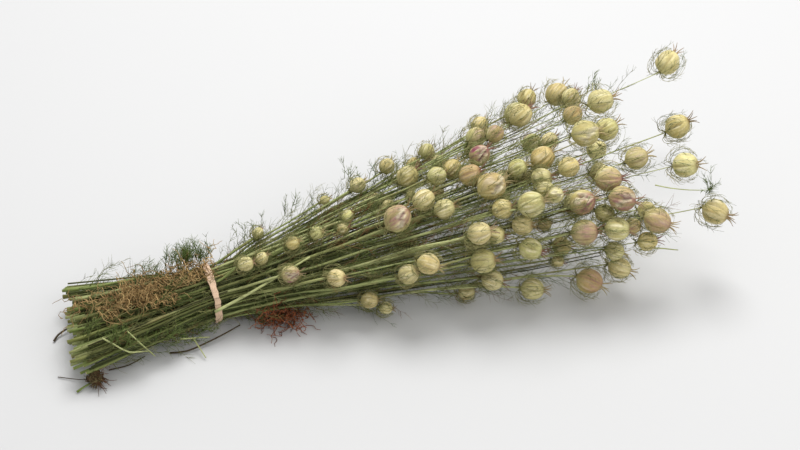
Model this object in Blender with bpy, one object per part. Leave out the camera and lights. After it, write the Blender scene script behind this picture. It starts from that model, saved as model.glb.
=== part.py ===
"""A tied bunch of dried nigella (love-in-a-mist) lying on a table.

Each plant is one solid: a cut stem, forked in some plants, with thread leaves, and on each tip
a ribbed seed pod with five horns and a cage of thread bracts. A paper tie holds the plants.

Metres, +Z up. The bunch lies along X, cut ends at -X and pods at +X. The origin is on the table,
under the middle of the tie, at the flat spot of the tie that the bunch rests on.
"""

import math

import bmesh
import bpy
import numpy as np

SEED = 11

# The camera of the photograph, in which the places of the pods were read
PHOTO_SIZE = (800, 450)
LENS_MM = 85.0
SENSOR_MM = 36.0
FOCAL_PX = PHOTO_SIZE[0] * LENS_MM / SENSOR_MM
VIEW_AZIMUTH = math.radians(-19)
VIEW_ELEVATION = math.radians(42)
VIEW_DISTANCE = 1.56
VIEW_TARGET = np.array([0.163, 0.0, 0.050])
VIEW_RIGHT = np.array([math.cos(VIEW_AZIMUTH), math.sin(VIEW_AZIMUTH), 0.0])
VIEW_BACK = np.array([
    math.sin(VIEW_AZIMUTH) * math.cos(VIEW_ELEVATION),
    -math.cos(VIEW_AZIMUTH) * math.cos(VIEW_ELEVATION),
    math.sin(VIEW_ELEVATION),
])
VIEW_UP = np.cross(VIEW_BACK, VIEW_RIGHT)
CAMERA_PLACE = VIEW_TARGET + VIEW_DISTANCE * VIEW_BACK

# Outline of the bunch across X, pinched by the tie: an upright ellipse that stands on the table
STATIONS = np.array([-0.112, -0.055, 0.0, 0.045, 0.095, 0.150, 0.205, 0.260, 0.315, 0.370])
HALF_WIDTH = (0.057, 0.042, 0.0275, 0.035, 0.046, 0.058, 0.070, 0.081, 0.088, 0.092)
HEIGHT = (0.040, 0.043, 0.047, 0.053, 0.064, 0.076, 0.088, 0.100, 0.112, 0.120)
TIE_STATION = 2
SIGHT_SPAN = (-0.40, 0.50)
SIGHT_STEP = 0.0005

# The tie, a paper band
TIE_WIDTH = 0.0062
TIE_THICKNESS = 0.0012
TIE_SLACK = 0.0007
TIE_SIDES = 20

# Stems
PLANTS = 58
STEM_SIDES = 4
STEM_RADIUS_CUT = 0.0016
STEM_RADIUS_POD = 0.0008
BRANCH_SHARE = 0.92
LONGEST_STEM = 0.40
FORK_FROM = 0.19
PODS_A_PLANT = 3
CUT_SPREAD = 0.012
CUT_SHORT_SHARE = 0.65
CUT_SLANT = 0.12
LANE_PITCH = 0.0060
PLANE_STEP = 0.010
STEM_GAP = 0.0009
POD_GAP = 0.0018

# How stems and pods are pushed apart, as shares of what is missing, and the longest moves
ROUNDS = 260
STRAIGHTEN_SHARE = 0.12
STEM_SHARE = 0.35
POD_ON_STEM_SHARE = 0.7
POD_SHARE = 0.25
STEM_MOVE = 0.0025
POD_MOVE = 0.0008
POD_ROOM = 1.04
TABLE_GAP = 0.0005
SMALLEST_POD = 0.004

# Pods
POD_STRETCH = 1.14
POD_FOOT = 0.97
RIBS = 5
GROOVE = 0.88
POD_PROFILE = ((-0.70, 0.72), (-0.05, 1.0), (0.62, 0.66))
SMALL_POD_PROFILE = ((-0.55, 0.86), (0.50, 0.82))
SMALL_POD_RADIUS = 0.0073
CROWN = 0.84
HORN_REACH = 1.0
HORN_SPREAD = 0.62
HORN_SHARES = (1.0, 0.8, 0.62, 0.48, 0.36)
HORN_TURNS = 6
HORN_RADIUS = 0.0005

# How far a pod's stem fans out, leans out of the bunch and strays
FAN_CENTRE = np.array([-0.05, 0.0, 0.022])
LEAN_OUT = 0.30
STRAY = 0.22

# The pods on the side that the photograph doesn't show
HIDDEN_PODS = 14
HIDDEN_FROM = 0.13
HIDDEN_SPAN = 0.27
HIDDEN_ARC = (-95, 130)
HIDDEN_WIDTH = (0.013, 0.007)

# Threads: the bracts round a pod and the leaves along a stem
THREAD_RADIUS = 0.00046
THREAD_GAP = 0.0003
THREAD_ROOT = 0.22
BRACTS = 3
LEAVES = 2
LEAF_LENGTH = 0.034

# Each pod seen in the photograph: its pixel, its width, and how far it lies behind the outline
PODS = (
    (668, 62, .0205, .0), (678, 126, .0195, 0), (686, 165, .0200, 0), (716, 212, .0205, 0),
    (601, 101, .0205, 0), (557, 94, .0195, 0), (571, 97, .0150, .015), (527, 98, .0160, .010),
    (521, 115, .0190, 0), (573, 115, .0160, .010), (586, 133, .0215, 0), (607, 129, .0185, .008),
    (480, 125, .0150, .012), (495, 134, .0150, 0), (476, 137, .0165, 0), (480, 155, .0170, 0),
    (550, 140, .0130, .020), (543, 158, .0195, 0), (518, 168, .0150, .010), (523, 178, .0140, .030),
    (569, 167, .0165, .010), (637, 158, .0180, 0), (452, 169, .0165, .010), (437, 176, .0155, 0),
    (471, 175, .0180, 0), (492, 186, .0225, 0), (503, 179, .0150, .020), (542, 178, .0165, .006),
    (546, 190, .0140, .004), (556, 195, .0125, -.004), (600, 172, .0150, .020), (609, 179, .0205, 0),
    (583, 202, .0200, 0), (623, 199, .0205, 0), (424, 200, .0180, 0), (445, 209, .0165, 0),
    (503, 209, .0165, -.003), (532, 204, .0205, 0), (605, 213, .0150, .004), (427, 151, .0130, 0),
    (438, 161, .0105, .015), (480, 233, .0180, 0), (496, 235, .0150, .012), (523, 225, .0165, .004),
    (531, 249, .0175, 0), (484, 261, .0195, 0), (493, 280, .0170, 0), (467, 292, .0130, .010),
    (533, 289, .0180, 0), (429, 264, .0170, 0), (562, 246, .0150, .020), (558, 261, .0100, .020),
    (545, 224, .0110, .030), (585, 232, .0205, 0), (618, 229, .0190, 0), (633, 226, .0130, .012),
    (615, 251, .0150, .004), (620, 268, .0180, 0), (590, 281, .0205, 0), (648, 241, .0155, 0),
    (658, 221, .0205, 0), (325, 200, .0105, 0), (358, 185, .0130, 0), (387, 166, .0130, 0),
    (408, 176, .0175, 0), (411, 195, .0115, .003), (389, 206, .0165, .012), (398, 218, .0215, 0),
    (348, 216, .0100, .004), (343, 229, .0100, .008), (293, 243, .0110, .004), (317, 233, .0110, .004),
    (258, 233, .0095, 0), (246, 264, .0120, 0), (262, 258, .0100, .004), (291, 274, .0140, 0),
    (337, 278, .0145, 0), (409, 274, .0165, .004), (370, 300, .0135, 0), (386, 308, .0105, 0),
)


def unit(v):
    return v / np.linalg.norm(v)


def outline(x):
    """Half width and height of the bunch at x."""
    return np.interp(x, STATIONS, HALF_WIDTH), np.interp(x, STATIONS, HEIGHT)


def stem_radius(x):
    return np.interp(x, (STATIONS[0], LONGEST_STEM), (STEM_RADIUS_CUT, STEM_RADIUS_POD))


def pod_place(px, py, sunk):
    """The point behind a pixel where the line of sight meets the outline, or passes nearest to it."""
    ray = unit(((px - PHOTO_SIZE[0] / 2) * VIEW_RIGHT - (py - PHOTO_SIZE[1] / 2) * VIEW_UP) / FOCAL_PX
               - VIEW_BACK)
    along = np.arange(VIEW_DISTANCE + SIGHT_SPAN[0], VIEW_DISTANCE + SIGHT_SPAN[1], SIGHT_STEP)
    points = CAMERA_PLACE + along[:, None] * ray
    half_width, height = outline(points[:, 0])
    rim = (points[:, 1] / half_width) ** 2 + (points[:, 2] / (height / 2) - 1) ** 2
    inside = np.nonzero(rim <= 1.0)[0]
    first = inside[0] if len(inside) else int(np.argmin(rim))
    return points[first] + sunk * ray


def hidden_pods(rng):
    """Pods on the side that the photograph doesn't show, at golden-angle steps round it."""
    made = []
    for k in range(HIDDEN_PODS):
        x = HIDDEN_FROM + HIDDEN_SPAN * ((k + 0.5) / HIDDEN_PODS)
        around = math.radians(HIDDEN_ARC[0] + HIDDEN_ARC[1] * ((k * 0.618) % 1.0))
        half_width, height = outline(x)
        width = HIDDEN_WIDTH[0] + HIDDEN_WIDTH[1] * rng.random()
        made.append((np.array([x, 0.97 * half_width * math.cos(around),
                               height / 2 * (1 + 0.97 * math.sin(around))]), width))
    return made


def place_pods():
    """Centre, radius and aim of every pod. A pod aims along its stem and leans out of the bunch."""
    rng = np.random.default_rng(SEED)
    found = [(pod_place(px, py, sunk), width) for px, py, width, sunk in PODS] + hidden_pods(rng)
    centres = np.array([place for place, _ in found])
    radii = np.array([width / 2 for _, width in found])
    aims = []
    for centre in centres:
        _, height = outline(centre[0])
        fan = unit(centre - FAN_CENTRE)
        out = np.array([0.0, centre[1], centre[2] - height / 2])
        out = out / max(np.linalg.norm(out), 0.02)
        aims.append(unit(fan + LEAN_OUT * out + STRAY * rng.normal(size=3)))
    return centres, radii, np.array(aims)


def round_coords(points):
    """Place of each point across the bunch, as shares of the outline's half width and half height."""
    half_width, height = outline(points[..., 0])
    return np.stack([points[..., 1] / half_width, points[..., 2] / (height / 2) - 1], -1)


def group_plants(centres):
    """Plant number of each pod: the nearest pods share a forked stem, up to three of them."""
    across = round_coords(centres)
    plant = list(range(len(centres)))
    pairs = []
    for i in range(len(centres)):
        for j in range(i):
            if min(centres[i, 0], centres[j, 0]) > FORK_FROM:
                apart = math.hypot(*(across[i] - across[j]))
                pairs.append((apart + 1.5 * abs(centres[i, 0] - centres[j, 0]), i, j))
    for _, i, j in sorted(pairs):
        if len(set(plant)) == PLANTS:
            break
        a, b = plant[i], plant[j]
        if a != b and plant.count(a) + plant.count(b) <= PODS_A_PLANT:
            plant = [a if p == b else p for p in plant]
    names = sorted(set(plant))
    return np.array([names.index(p) for p in plant])


def tie_lanes():
    """Hexagonal lanes for the stems inside the tie, as shares of its outline, middle ones first."""
    half_width, height = outline(0.0)
    inset = TIE_THICKNESS + TIE_SLACK + STEM_RADIUS_CUT
    rows = int(height / LANE_PITCH) + 2
    lanes = []
    for row in range(-rows, rows + 1):
        for col in range(-rows, rows + 1):
            y = (col + 0.5 * (row % 2)) * LANE_PITCH
            z = (row + 0.5) * LANE_PITCH * math.sqrt(0.75)
            lanes.append((y / (half_width - inset), z / (height / 2 - inset)))
    lanes.sort(key=lambda lane: math.hypot(*lane))
    lanes = np.array(lanes[:PLANTS])
    return lanes * (1 - inset / np.array([half_width, height / 2])) / np.hypot(*lanes.T).max()


def assign_lanes(wanted, weight, lanes):
    """One lane for each plant: swaps go on while they bring plants nearer to where their pods lie."""
    everyone = np.arange(len(wanted))
    lane_of = np.empty(len(wanted), int)
    lane_of[np.argsort(np.hypot(*wanted.T))] = everyone
    cost = ((wanted[:, None] - lanes[None]) ** 2).sum(-1) * weight[:, None]
    better = True
    while better:
        better = False
        for i in everyone:
            now = cost[i, lane_of[i]] + cost[everyone, lane_of]
            gain = now - cost[i, lane_of] - cost[everyone, lane_of[i]]
            j = int(np.argmax(gain))
            if gain[j] > 1e-9:
                lane_of[i], lane_of[j] = lane_of[j], lane_of[i]
                better = True
    return lane_of


class Bunch:
    """The stems and pods while they are pushed apart. Stem i belongs to pod i: it runs through
    nodes[i, 0] to nodes[i, last[i] + 1], its foot. The stems of a plant are one up to the fork."""

    def __init__(self):
        self.centres, self.radii, self.aims = place_pods()
        self.first_aims = self.aims.copy()
        self.plant = group_plants(self.centres)
        self.members = [np.nonzero(self.plant == p)[0] for p in range(PLANTS)]
        self.everyone = np.arange(len(self.centres))
        self.other = self.plant[:, None] != self.plant[None, :]
        self.sights = np.array([unit(centre - CAMERA_PLACE) for centre in self.centres])
        self.last = (STATIONS[None] < self.feet()[:, :1] - 0.020).sum(1) - 1
        self.fork = np.full(len(self.centres), -1)
        for m in self.members:
            if len(m) > 1:
                self.fork[m] = max(TIE_STATION, self.last[m].min() - 1)
        self.nodes = self.first_stems()

    def feet(self):
        """Where the stems meet their pods."""
        return self.centres - self.aims * (self.radii * POD_STRETCH * POD_FOOT)[:, None]

    def first_stems(self):
        here = round_coords(self.centres)
        here /= np.maximum(np.hypot(here[:, :1], here[:, 1:]) / 0.97, 1.0)
        wanted = np.array([here[m].mean(0) for m in self.members])
        weight = np.array([1.0 / (0.05 + self.centres[m, 0].min()) for m in self.members])
        lanes = tie_lanes()
        lane = lanes[assign_lanes(wanted, weight, lanes)][self.plant]
        half_width, height = outline(STATIONS)
        nodes = np.zeros((len(self.centres), len(STATIONS) + 1, 3))
        for i in self.everyone:
            for k in range(self.last[i] + 1):
                t = np.clip(STATIONS[k] / max(self.centres[i, 0] - 0.01, 0.03), 0.0, 1.0)
                t = t * t * (3 - 2 * t)
                u, v = lane[i] * (1 - t) + here[i] * t * 0.93
                nodes[i, k] = STATIONS[k], u * half_width[k], height[k] / 2 * (1 + v)
        nodes[self.everyone, self.last + 1] = self.feet()
        return nodes

    def settle(self):
        """Pushes what comes too close apart, a little in each round."""
        planes = np.arange(STATIONS[0], 0.425, PLANE_STEP)
        for turn in range(ROUNDS):
            self.nodes[self.everyone, self.last + 1] = self.feet()
            self.straighten()
            self.part_stems(planes[turn % 2::2])
            self.turn_pods()
            self.part_pods()
            self.keep_outline()
            for m in self.members:
                if len(m) > 1:
                    self.nodes[m, :self.fork[m[0]] + 1] = self.nodes[m, :self.fork[m[0]] + 1].mean(0)
        self.fit_pods()
        self.nodes[self.everyone, self.last + 1] = self.feet()

    def straighten(self):
        for k in range(TIE_STATION + 1, len(STATIONS)):
            on = self.last >= k
            before, after = self.nodes[on, k - 1], self.nodes[on, k + 1]
            w = ((STATIONS[k] - before[:, 0]) / (after[:, 0] - before[:, 0]))[:, None]
            between = before[:, 1:] * (1 - w) + after[:, 1:] * w
            self.nodes[on, k, 1:] += STRAIGHTEN_SHARE * (between - self.nodes[on, k, 1:])

    def crossings(self, planes):
        """Where each stem crosses each plane of x: its segment, the share along it and the point."""
        column = np.arange(len(STATIONS) + 1)
        xs = np.where(column[None] <= (self.last + 1)[:, None], self.nodes[:, :, 0], 9.0)
        left = (xs[:, None, :] <= planes[None, :, None]).sum(-1) - 1
        on = (left >= 0) & (left <= self.last[:, None])
        left = np.clip(left, 0, self.last[:, None])
        start = self.nodes[self.everyone[:, None], left]
        end = self.nodes[self.everyone[:, None], left + 1]
        share = ((planes[None] - start[..., 0]) / (end[..., 0] - start[..., 0]))[..., None]
        at = (start * (1 - share) + end * share)[..., 1:].transpose(1, 0, 2)
        return left, share, at, on.T

    def part_stems(self, planes):
        """Stems push each other apart, and pods push stems aside and move along the line of sight."""
        radius = stem_radius(planes)
        left, share, at, on = self.crossings(planes)
        need = (2 * radius + STEM_GAP)[:, None, None] * 1.08
        apart = at[:, :, None] - at[:, None]
        dist = np.maximum(np.linalg.norm(apart, axis=-1), 1e-6)
        close = self.other[None] & on[:, :, None] & on[:, None] & (dist < need)
        move = (np.where(close, (need - dist) / dist * STEM_SHARE, 0.0)[..., None] * apart).sum(2)

        offset = (planes[:, None] - self.centres[None, :, 0]) / (self.radii * POD_STRETCH)
        thick = np.clip(1 - offset ** 2, 0, 1)
        need = (self.radii[None] * np.sqrt(thick) + radius[:, None] + POD_GAP)[:, None]
        apart = at[:, :, None] - self.centres[None, None, :, 1:]
        dist = np.maximum(np.linalg.norm(apart, axis=-1), 1e-6)
        close = self.other[None] & on[:, :, None] & (thick > 0)[:, None] & (dist < need)
        press = np.where(close, (need - dist) / dist * POD_ON_STEM_SHARE, 0.0)[..., None] * apart
        move += press.sum(2)
        back = -(press.sum((0, 1)) * self.sights[:, 1:]).sum(1)
        self.centres += np.clip(back * 0.5, -POD_MOVE, POD_MOVE)[:, None] * self.sights

        move = np.pad(move.transpose(1, 0, 2), ((0, 0), (0, 0), (1, 0)))
        shift = np.zeros_like(self.nodes)
        np.add.at(shift, (self.everyone[:, None], left), move * (1 - share))
        np.add.at(shift, (self.everyone[:, None], left + 1), move * share)
        size = np.linalg.norm(shift, axis=-1, keepdims=True)
        shift *= np.minimum(1.0, STEM_MOVE / np.maximum(size, 1e-9))
        shift[:, :TIE_STATION + 1] = 0
        self.nodes += shift

    def turn_pods(self):
        """A pod turns with the foot of its stem."""
        aims = self.centres - self.nodes[self.everyone, self.last + 1]
        aims /= np.linalg.norm(aims, axis=1, keepdims=True)
        aims += 0.05 * self.first_aims
        self.aims = aims / np.linalg.norm(aims, axis=1, keepdims=True)

    def part_pods(self):
        """Pods keep apart along the line of sight, and stay on the table."""
        need = (self.radii[:, None] + self.radii[None]) * POD_ROOM + 0.0015
        dist = np.linalg.norm(self.centres[:, None] - self.centres[None], axis=-1)
        for i, j in zip(*np.nonzero(np.triu(dist < need, 1))):
            apart = self.centres[i] - self.centres[j]
            depth = apart @ self.sights[i]
            side = np.linalg.norm(apart - depth * self.sights[i])
            want = math.sqrt(max(need[i, j] ** 2 - side ** 2, 0.0))
            grow = POD_SHARE * (want - abs(depth)) * (1 if depth >= 0 else -1)
            self.centres[i] += grow * self.sights[i]
            self.centres[j] -= grow * self.sights[j]
        low = np.maximum(self.radii * 1.02 - self.centres[:, 2], 0.0) / self.sights[:, 2]
        self.centres += low[:, None] * self.sights

    def keep_outline(self):
        """The stems stay inside the outline and on the table."""
        for k in range(TIE_STATION + 1, len(STATIONS)):
            half_width, height = outline(STATIONS[k])
            radius = stem_radius(STATIONS[k])
            room = np.array((half_width * 1.03 - radius, height / 2 - radius))
            coords = (self.nodes[:, k, 1:] - (0, height / 2)) / room
            coords /= np.maximum(np.linalg.norm(coords, axis=1), 1.0)[:, None]
            self.nodes[:, k, 1:] = coords * room + (0, height / 2)
            self.nodes[:, k, 2] = np.maximum(self.nodes[:, k, 2], radius * 1.05 + TABLE_GAP)

    def fit_pods(self):
        """A pod that still lies too near a stem of another plant gets a little smaller."""
        starts, ends, thick, owner = [], [], [], []
        for i in self.everyone:
            for k in range(self.last[i] + 1):
                starts.append(self.nodes[i, k])
                ends.append(self.nodes[i, k + 1])
                thick.append(stem_radius(self.nodes[i, k, 0]))
                owner.append(self.plant[i])
        starts, ends, thick, owner = map(np.array, (starts, ends, thick, owner))
        for i in self.everyone:
            away = point_to_segments(self.centres[i], starts, ends) - thick
            room = away[owner != self.plant[i]].min() - 0.0005
            self.radii[i] = max(min(self.radii[i], room), SMALLEST_POD)


def point_to_segments(point, starts, ends):
    along = ends - starts
    share = ((point - starts) * along).sum(1) / np.maximum((along ** 2).sum(1), 1e-12)
    return np.linalg.norm(starts + np.clip(share, 0, 1)[:, None] * along - point, axis=1)


def segment_to_segments(a, b, starts, ends):
    """Least distance from the segment ab to each of the others."""
    d1, d2, r = b - a, ends - starts, a - starts
    aa, ee = d1 @ d1, np.maximum((d2 ** 2).sum(1), 1e-12)
    f, c, bb = (d2 * r).sum(1), r @ d1, d2 @ d1
    s = np.clip((bb * f - c * ee) / np.maximum(aa * ee - bb * bb, 1e-12), 0, 1)
    t = np.clip((bb * s + f) / ee, 0, 1)
    s = np.clip((bb * t - c) / max(aa, 1e-12), 0, 1)
    t = np.clip((bb * s + f) / ee, 0, 1)
    return np.linalg.norm(a + s[:, None] * d1 - starts - t[:, None] * d2, axis=1)


class Room:
    """The space that is taken so far, as rounded rods that each belong to a plant or to the tie."""

    def __init__(self):
        self.starts = np.zeros((0, 3))
        self.ends = np.zeros((0, 3))
        self.thick = np.zeros(0)
        self.owner = np.zeros(0, int)

    def take(self, points, radius, owner):
        """Adds the rods along a row of points."""
        points = np.asarray(points)
        count = len(points) - 1
        self.starts = np.vstack([self.starts, points[:-1]])
        self.ends = np.vstack([self.ends, points[1:]])
        self.thick = np.append(self.thick, np.broadcast_to(radius, count))
        self.owner = np.append(self.owner, np.full(count, owner))

    def clear(self, points, radius, owner, gap=THREAD_GAP):
        """True when a rod along the points stays clear of the table and of everything else."""
        if min(p[2] for p in points[1:]) < radius + gap:
            return False
        others = self.owner != owner
        starts, ends, thick = self.starts[others], self.ends[others], self.thick[others]
        for a, b in zip(points[:-1], points[1:]):
            near = segment_to_segments(a, b, starts, ends) - thick
            if near.min() < radius + gap:
                return False
        return True


def threads_of(owner):
    """The owner under which a plant's threads are taken, so that each new one stays clear of them."""
    return owner + PLANTS


def across(direction):
    """Two unit vectors u and v, square to a direction, with u, v and the direction right-handed."""
    u = unit(np.cross(direction, (0.0, 0.0, 1.0) if abs(direction[2]) < 0.9 else (1.0, 0.0, 0.0)))
    return u, np.cross(direction, u)


def ring_points(centre, direction, radius, sides, turn=0.0):
    u, v = across(direction)
    angles = turn + np.arange(sides) * 2 * math.pi / sides
    return [centre + radius * (math.cos(a) * u + math.sin(a) * v) for a in angles]


def turn_towards(points, direction):
    """The turn at which a ring across a direction has its corners in line with a ring of points."""
    u, v = across(direction)
    steps = np.array(points) - np.mean(points, axis=0)
    angles = np.arctan2(steps @ v, steps @ u) - np.arange(len(points)) * 2 * math.pi / len(points)
    return math.atan2(np.sin(angles).sum(), np.cos(angles).sum())


def add_ring(bm, points, below=None):
    """Adds a ring of points and, with a ring below, the triangles between the two."""
    ring = [bm.verts.new(p) for p in points]
    if below is None:
        return ring
    start = np.array(below[0].co) - np.mean([corner.co for corner in below], axis=0)
    steps = np.array(points) - np.mean(points, axis=0)
    first = int(np.argmax(steps @ start))
    above = ring[first:] + ring[:first]
    n, m = len(below), len(above)
    i = j = 0
    while i < n or j < m:
        if j == m or (i < n and (i + 0.5) / n <= (j + 0.5) / m):
            bm.faces.new((below[i % n], below[(i + 1) % n], above[j % m]))
            i += 1
        else:
            bm.faces.new((below[i % n], above[(j + 1) % m], above[j % m]))
            j += 1
    return ring


def directions(points):
    """The direction of a row of points at each of them."""
    points = np.asarray(points)
    steps = np.diff(points, axis=0)
    steps /= np.linalg.norm(steps, axis=1, keepdims=True)
    return [steps[0]] + [unit(a + b) for a, b in zip(steps[:-1], steps[1:])] + [steps[-1]]


def add_tube(bm, points, radii, sides, turn=0.0):
    """The rings of a tube with a closed start and an open end."""
    rings = []
    for point, direction, radius in zip(points, directions(points), radii):
        below = rings[-1] if rings else None
        rings.append(add_ring(bm, ring_points(point, direction, radius, sides, turn), below))
        if below is None:
            bm.faces.new(rings[0][::-1])
    return rings


def grow_thread(bm, ring, above, side, share, bend, tip):
    """Raises a three-sided thread from a small triangle set into the face that stands on one side
    of a ring and ends in the ring above. Share is how far up that face the thread's root is."""
    a, b = ring[side], ring[(side + 1) % len(ring)]
    face = next(f for f in bm.edges.get((a, b)).link_faces if any(v in above for v in f.verts))
    corners = [a, b] + [v for v in face.verts if v in above]
    places = [np.array(corner.co) for corner in corners]
    root = (places[0] + places[1]) / 2 * (1 - share) + places[2] * share
    normal = unit(np.cross(places[1] - places[0], places[2] - places[0]))

    def inside(point, k):
        edge = places[(k + 1) % 3] - places[k]
        return np.cross(edge, point - places[k]) @ normal / np.linalg.norm(edge)

    room = min(inside(root, k) for k in range(3))
    root_points = ring_points(root, normal, min(THREAD_RADIUS, 0.85 * room), 3)
    root_ring = [bm.verts.new(point) for point in root_points]
    nearest = [min(range(3), key=lambda j: inside(root_points[j], k)) for k in range(3)]
    bm.faces.remove(face)
    for k in range(3):
        j = nearest[k]
        bm.faces.new((corners[k], corners[(k + 1) % 3], root_ring[j]))
        while j != nearest[(k + 1) % 3]:
            bm.faces.new((corners[(k + 1) % 3], root_ring[(j + 1) % 3], root_ring[j]))
            j = (j + 1) % 3
    direction = unit(unit(bend - root) + unit(tip - bend))
    turn = turn_towards(root_points, direction)
    knee = add_ring(bm, ring_points(bend, direction, THREAD_RADIUS, 3, turn), root_ring)
    end = bm.verts.new(tip)
    for k in range(3):
        bm.faces.new((knee[k], knee[(k + 1) % 3], end))


class Pod:
    """A seed pod on its stem: where it lies, how it is turned, its horns and its bracts."""

    def __init__(self, centre, radius, aim, spin):
        self.centre, self.radius, self.aim, self.spin = centre, radius, aim, spin
        self.horn = HORN_REACH
        self.bracts = {}

    def at(self, along, out, angle):
        """A point by its place along the pod's axis and out from it, in radii."""
        u, v = across(self.aim)
        radial = math.cos(self.spin + angle) * u + math.sin(self.spin + angle) * v
        return self.centre + self.radius * (along * self.aim + out * radial)

    def profile(self):
        return SMALL_POD_PROFILE if self.radius < SMALL_POD_RADIUS else POD_PROFILE

    def horn_tip(self, k):
        reach = POD_STRETCH * POD_PROFILE[-1][0] + self.horn
        return self.at(reach, HORN_SPREAD, k * 2 * math.pi / RIBS)

    def core(self):
        """The two ends of a rod as thick as the pod, that fills most of it."""
        half = self.radius * (POD_STRETCH - 1.0)
        return [self.centre - half * self.aim, self.centre + half * self.aim]

    def place_horns(self, room, owner):
        """Turns the pod, and shortens its horns where it must, until they are clear."""
        choices = [(horn, self.spin + turn * 2 * math.pi / RIBS / HORN_TURNS)
                   for horn in HORN_SHARES for turn in range(HORN_TURNS)]
        for self.horn, self.spin in choices:
            if self.horn <= HORN_SHARES[-1] or all(
                    room.clear([self.at(0.5, 0.4, k * 2 * math.pi / RIBS), self.horn_tip(k)],
                               1.2 * HORN_RADIUS, owner) for k in range(RIBS)):
                break
        for k in range(RIBS):
            rod = [self.at(0.7, 0.5, k * 2 * math.pi / RIBS), self.horn_tip(k)]
            room.take(rod, HORN_RADIUS, threads_of(owner))

    def place_bracts(self, room, owner, rng):
        """Threads that rise from the foot of the pod and bow round it, where there is room."""
        for k in range(BRACTS):
            for _ in range(14):
                side = int(2 * RIBS * (k + rng.uniform(-0.2, 1.2)) / BRACTS) % (2 * RIBS)
                angle = (side + 0.5) * math.pi / RIBS
                bow, lean, reach = rng.uniform(1.25, 1.44), rng.uniform(-0.4, 0.4), rng.uniform(0.7, 1.5)
                points = [self.at(-0.65, 0.75, angle), self.at(-0.2, bow, angle),
                          self.at(reach, bow * 0.92, angle + lean)]
                if side not in self.bracts and room.clear(points, THREAD_RADIUS, owner):
                    room.take(points, THREAD_RADIUS, threads_of(owner))
                    self.bracts[side] = points[1:]
                    break

    def add_body(self, bm, foot):
        """The ribbed body, raised on the last ring of its stem, with its bracts and horns."""
        rings = [foot]
        for along, out in self.profile():
            points = [self.at(along * POD_STRETCH, out * (1.0, GROOVE)[k % 2], k * math.pi / RIBS)
                      for k in range(2 * RIBS)]
            rings.append(add_ring(bm, points, rings[-1]))
        for side, (bend, tip) in self.bracts.items():
            grow_thread(bm, rings[1], rings[2], side, THREAD_ROOT, bend, tip)
        middle = bm.verts.new(self.at(CROWN * POD_STRETCH, 0.0, 0.0))
        for k in range(RIBS):
            tip = bm.verts.new(self.horn_tip(k))
            rim = (rings[-1][2 * k - 1], rings[-1][2 * k], rings[-1][2 * k + 1], middle)
            for side in range(4):
                bm.faces.new((rim[side], rim[(side + 1) % 4], tip))


def thinned(points, tolerance=0.0004):
    """The points without those that lie on the line between their neighbours."""
    kept = [points[0]]
    for k in range(1, len(points) - 1):
        if point_to_segments(points[k], kept[-1][None], points[k + 1][None])[0] > tolerance:
            kept.append(points[k])
    return np.array(kept + [points[-1]])


def mesh_object(name, build, material):
    """An object from a function that fills a bmesh."""
    bm = bmesh.new()
    build(bm)
    mesh = bpy.data.meshes.new(name)
    bm.to_mesh(mesh)
    bm.free()
    mesh.materials.append(material)
    obj = bpy.data.objects.new(name, mesh)
    bpy.context.scene.collection.objects.link(obj)
    return obj


def plain_material(name, color, roughness):
    material = bpy.data.materials.new(name)
    material.use_nodes = True
    shader = material.node_tree.nodes["Principled BSDF"]
    shader.inputs["Base Color"].default_value = (*color, 1.0)
    shader.inputs["Roughness"].default_value = roughness
    shader.inputs["Metallic"].default_value = 0.0
    return material


def fuse(obj, pieces):
    """Joins pieces to an object with one union, and removes them."""
    collection = bpy.data.collections.new(obj.name + "_pieces")
    for piece in pieces:
        collection.objects.link(piece)
    union = obj.modifiers.new("union", "BOOLEAN")
    union.operation = "UNION"
    union.operand_type = "COLLECTION"
    union.collection = collection
    union.solver = "MANIFOLD"
    graph = bpy.context.evaluated_depsgraph_get()
    joined = bpy.data.meshes.new_from_object(obj.evaluated_get(graph))
    old = obj.data
    obj.modifiers.clear()
    obj.data = joined
    bpy.data.meshes.remove(old)
    for piece in pieces:
        bpy.data.objects.remove(piece)
    bpy.data.collections.remove(collection)
    keep_outer_skin(obj.data)


def keep_outer_skin(mesh):
    """Fills the hairline hollows that a union seals, by leaving out every skin but the largest."""
    bm = bmesh.new()
    bm.from_mesh(mesh)
    skins = []
    left = set(bm.faces)
    while left:
        stack = [left.pop()]
        skin = []
        while stack:
            face = stack.pop()
            skin.append(face)
            for edge in face.edges:
                for other in edge.link_faces:
                    if other in left:
                        left.remove(other)
                        stack.append(other)
        skins.append(skin)
    skins.sort(key=len)
    for skin in skins[:-1]:
        bmesh.ops.delete(bm, geom=skin, context="FACES")
    bm.to_mesh(mesh)
    bm.free()


def make_plant(number, stems, pods, leaves, material):
    """One plant: its first stem with the leaves and the first pod, and branches fused to it."""
    def add_first(bm):
        rings = add_tube(bm, stems[0], stem_radius(stems[0][:, 0]), STEM_SIDES)
        pods[0].add_body(bm, rings[-1])
        for (segment, side), (bend, tip) in leaves.items():
            grow_thread(bm, rings[segment], rings[segment + 1], side, THREAD_ROOT, bend, tip)

    plant = mesh_object(f"plant_{number + 1:02d}", add_first, material)
    branches = []
    for points, pod in zip(stems[1:], pods[1:]):
        def add_branch(bm):
            rings = add_tube(bm, points, BRANCH_SHARE * stem_radius(points[:, 0]), STEM_SIDES)
            pod.add_body(bm, rings[-1])
        branches.append(mesh_object("branch", add_branch, material))
    if branches:
        fuse(plant, branches)
    return plant


def tie_outline(inset):
    """The ring of the tie, flat below: its corners lie round an ellipse."""
    half_width, height = outline(0.0)
    half_step = math.pi / TIE_SIDES
    stretch = 1 / math.cos(half_step)
    corners = []
    for k in range(TIE_SIDES):
        a = -math.pi / 2 + (2 * k + 1) * half_step
        corners.append((stretch * (half_width - inset) * math.cos(a),
                        height / 2 + stretch * (height / 2 - inset) * math.sin(a)))
    return corners


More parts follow.
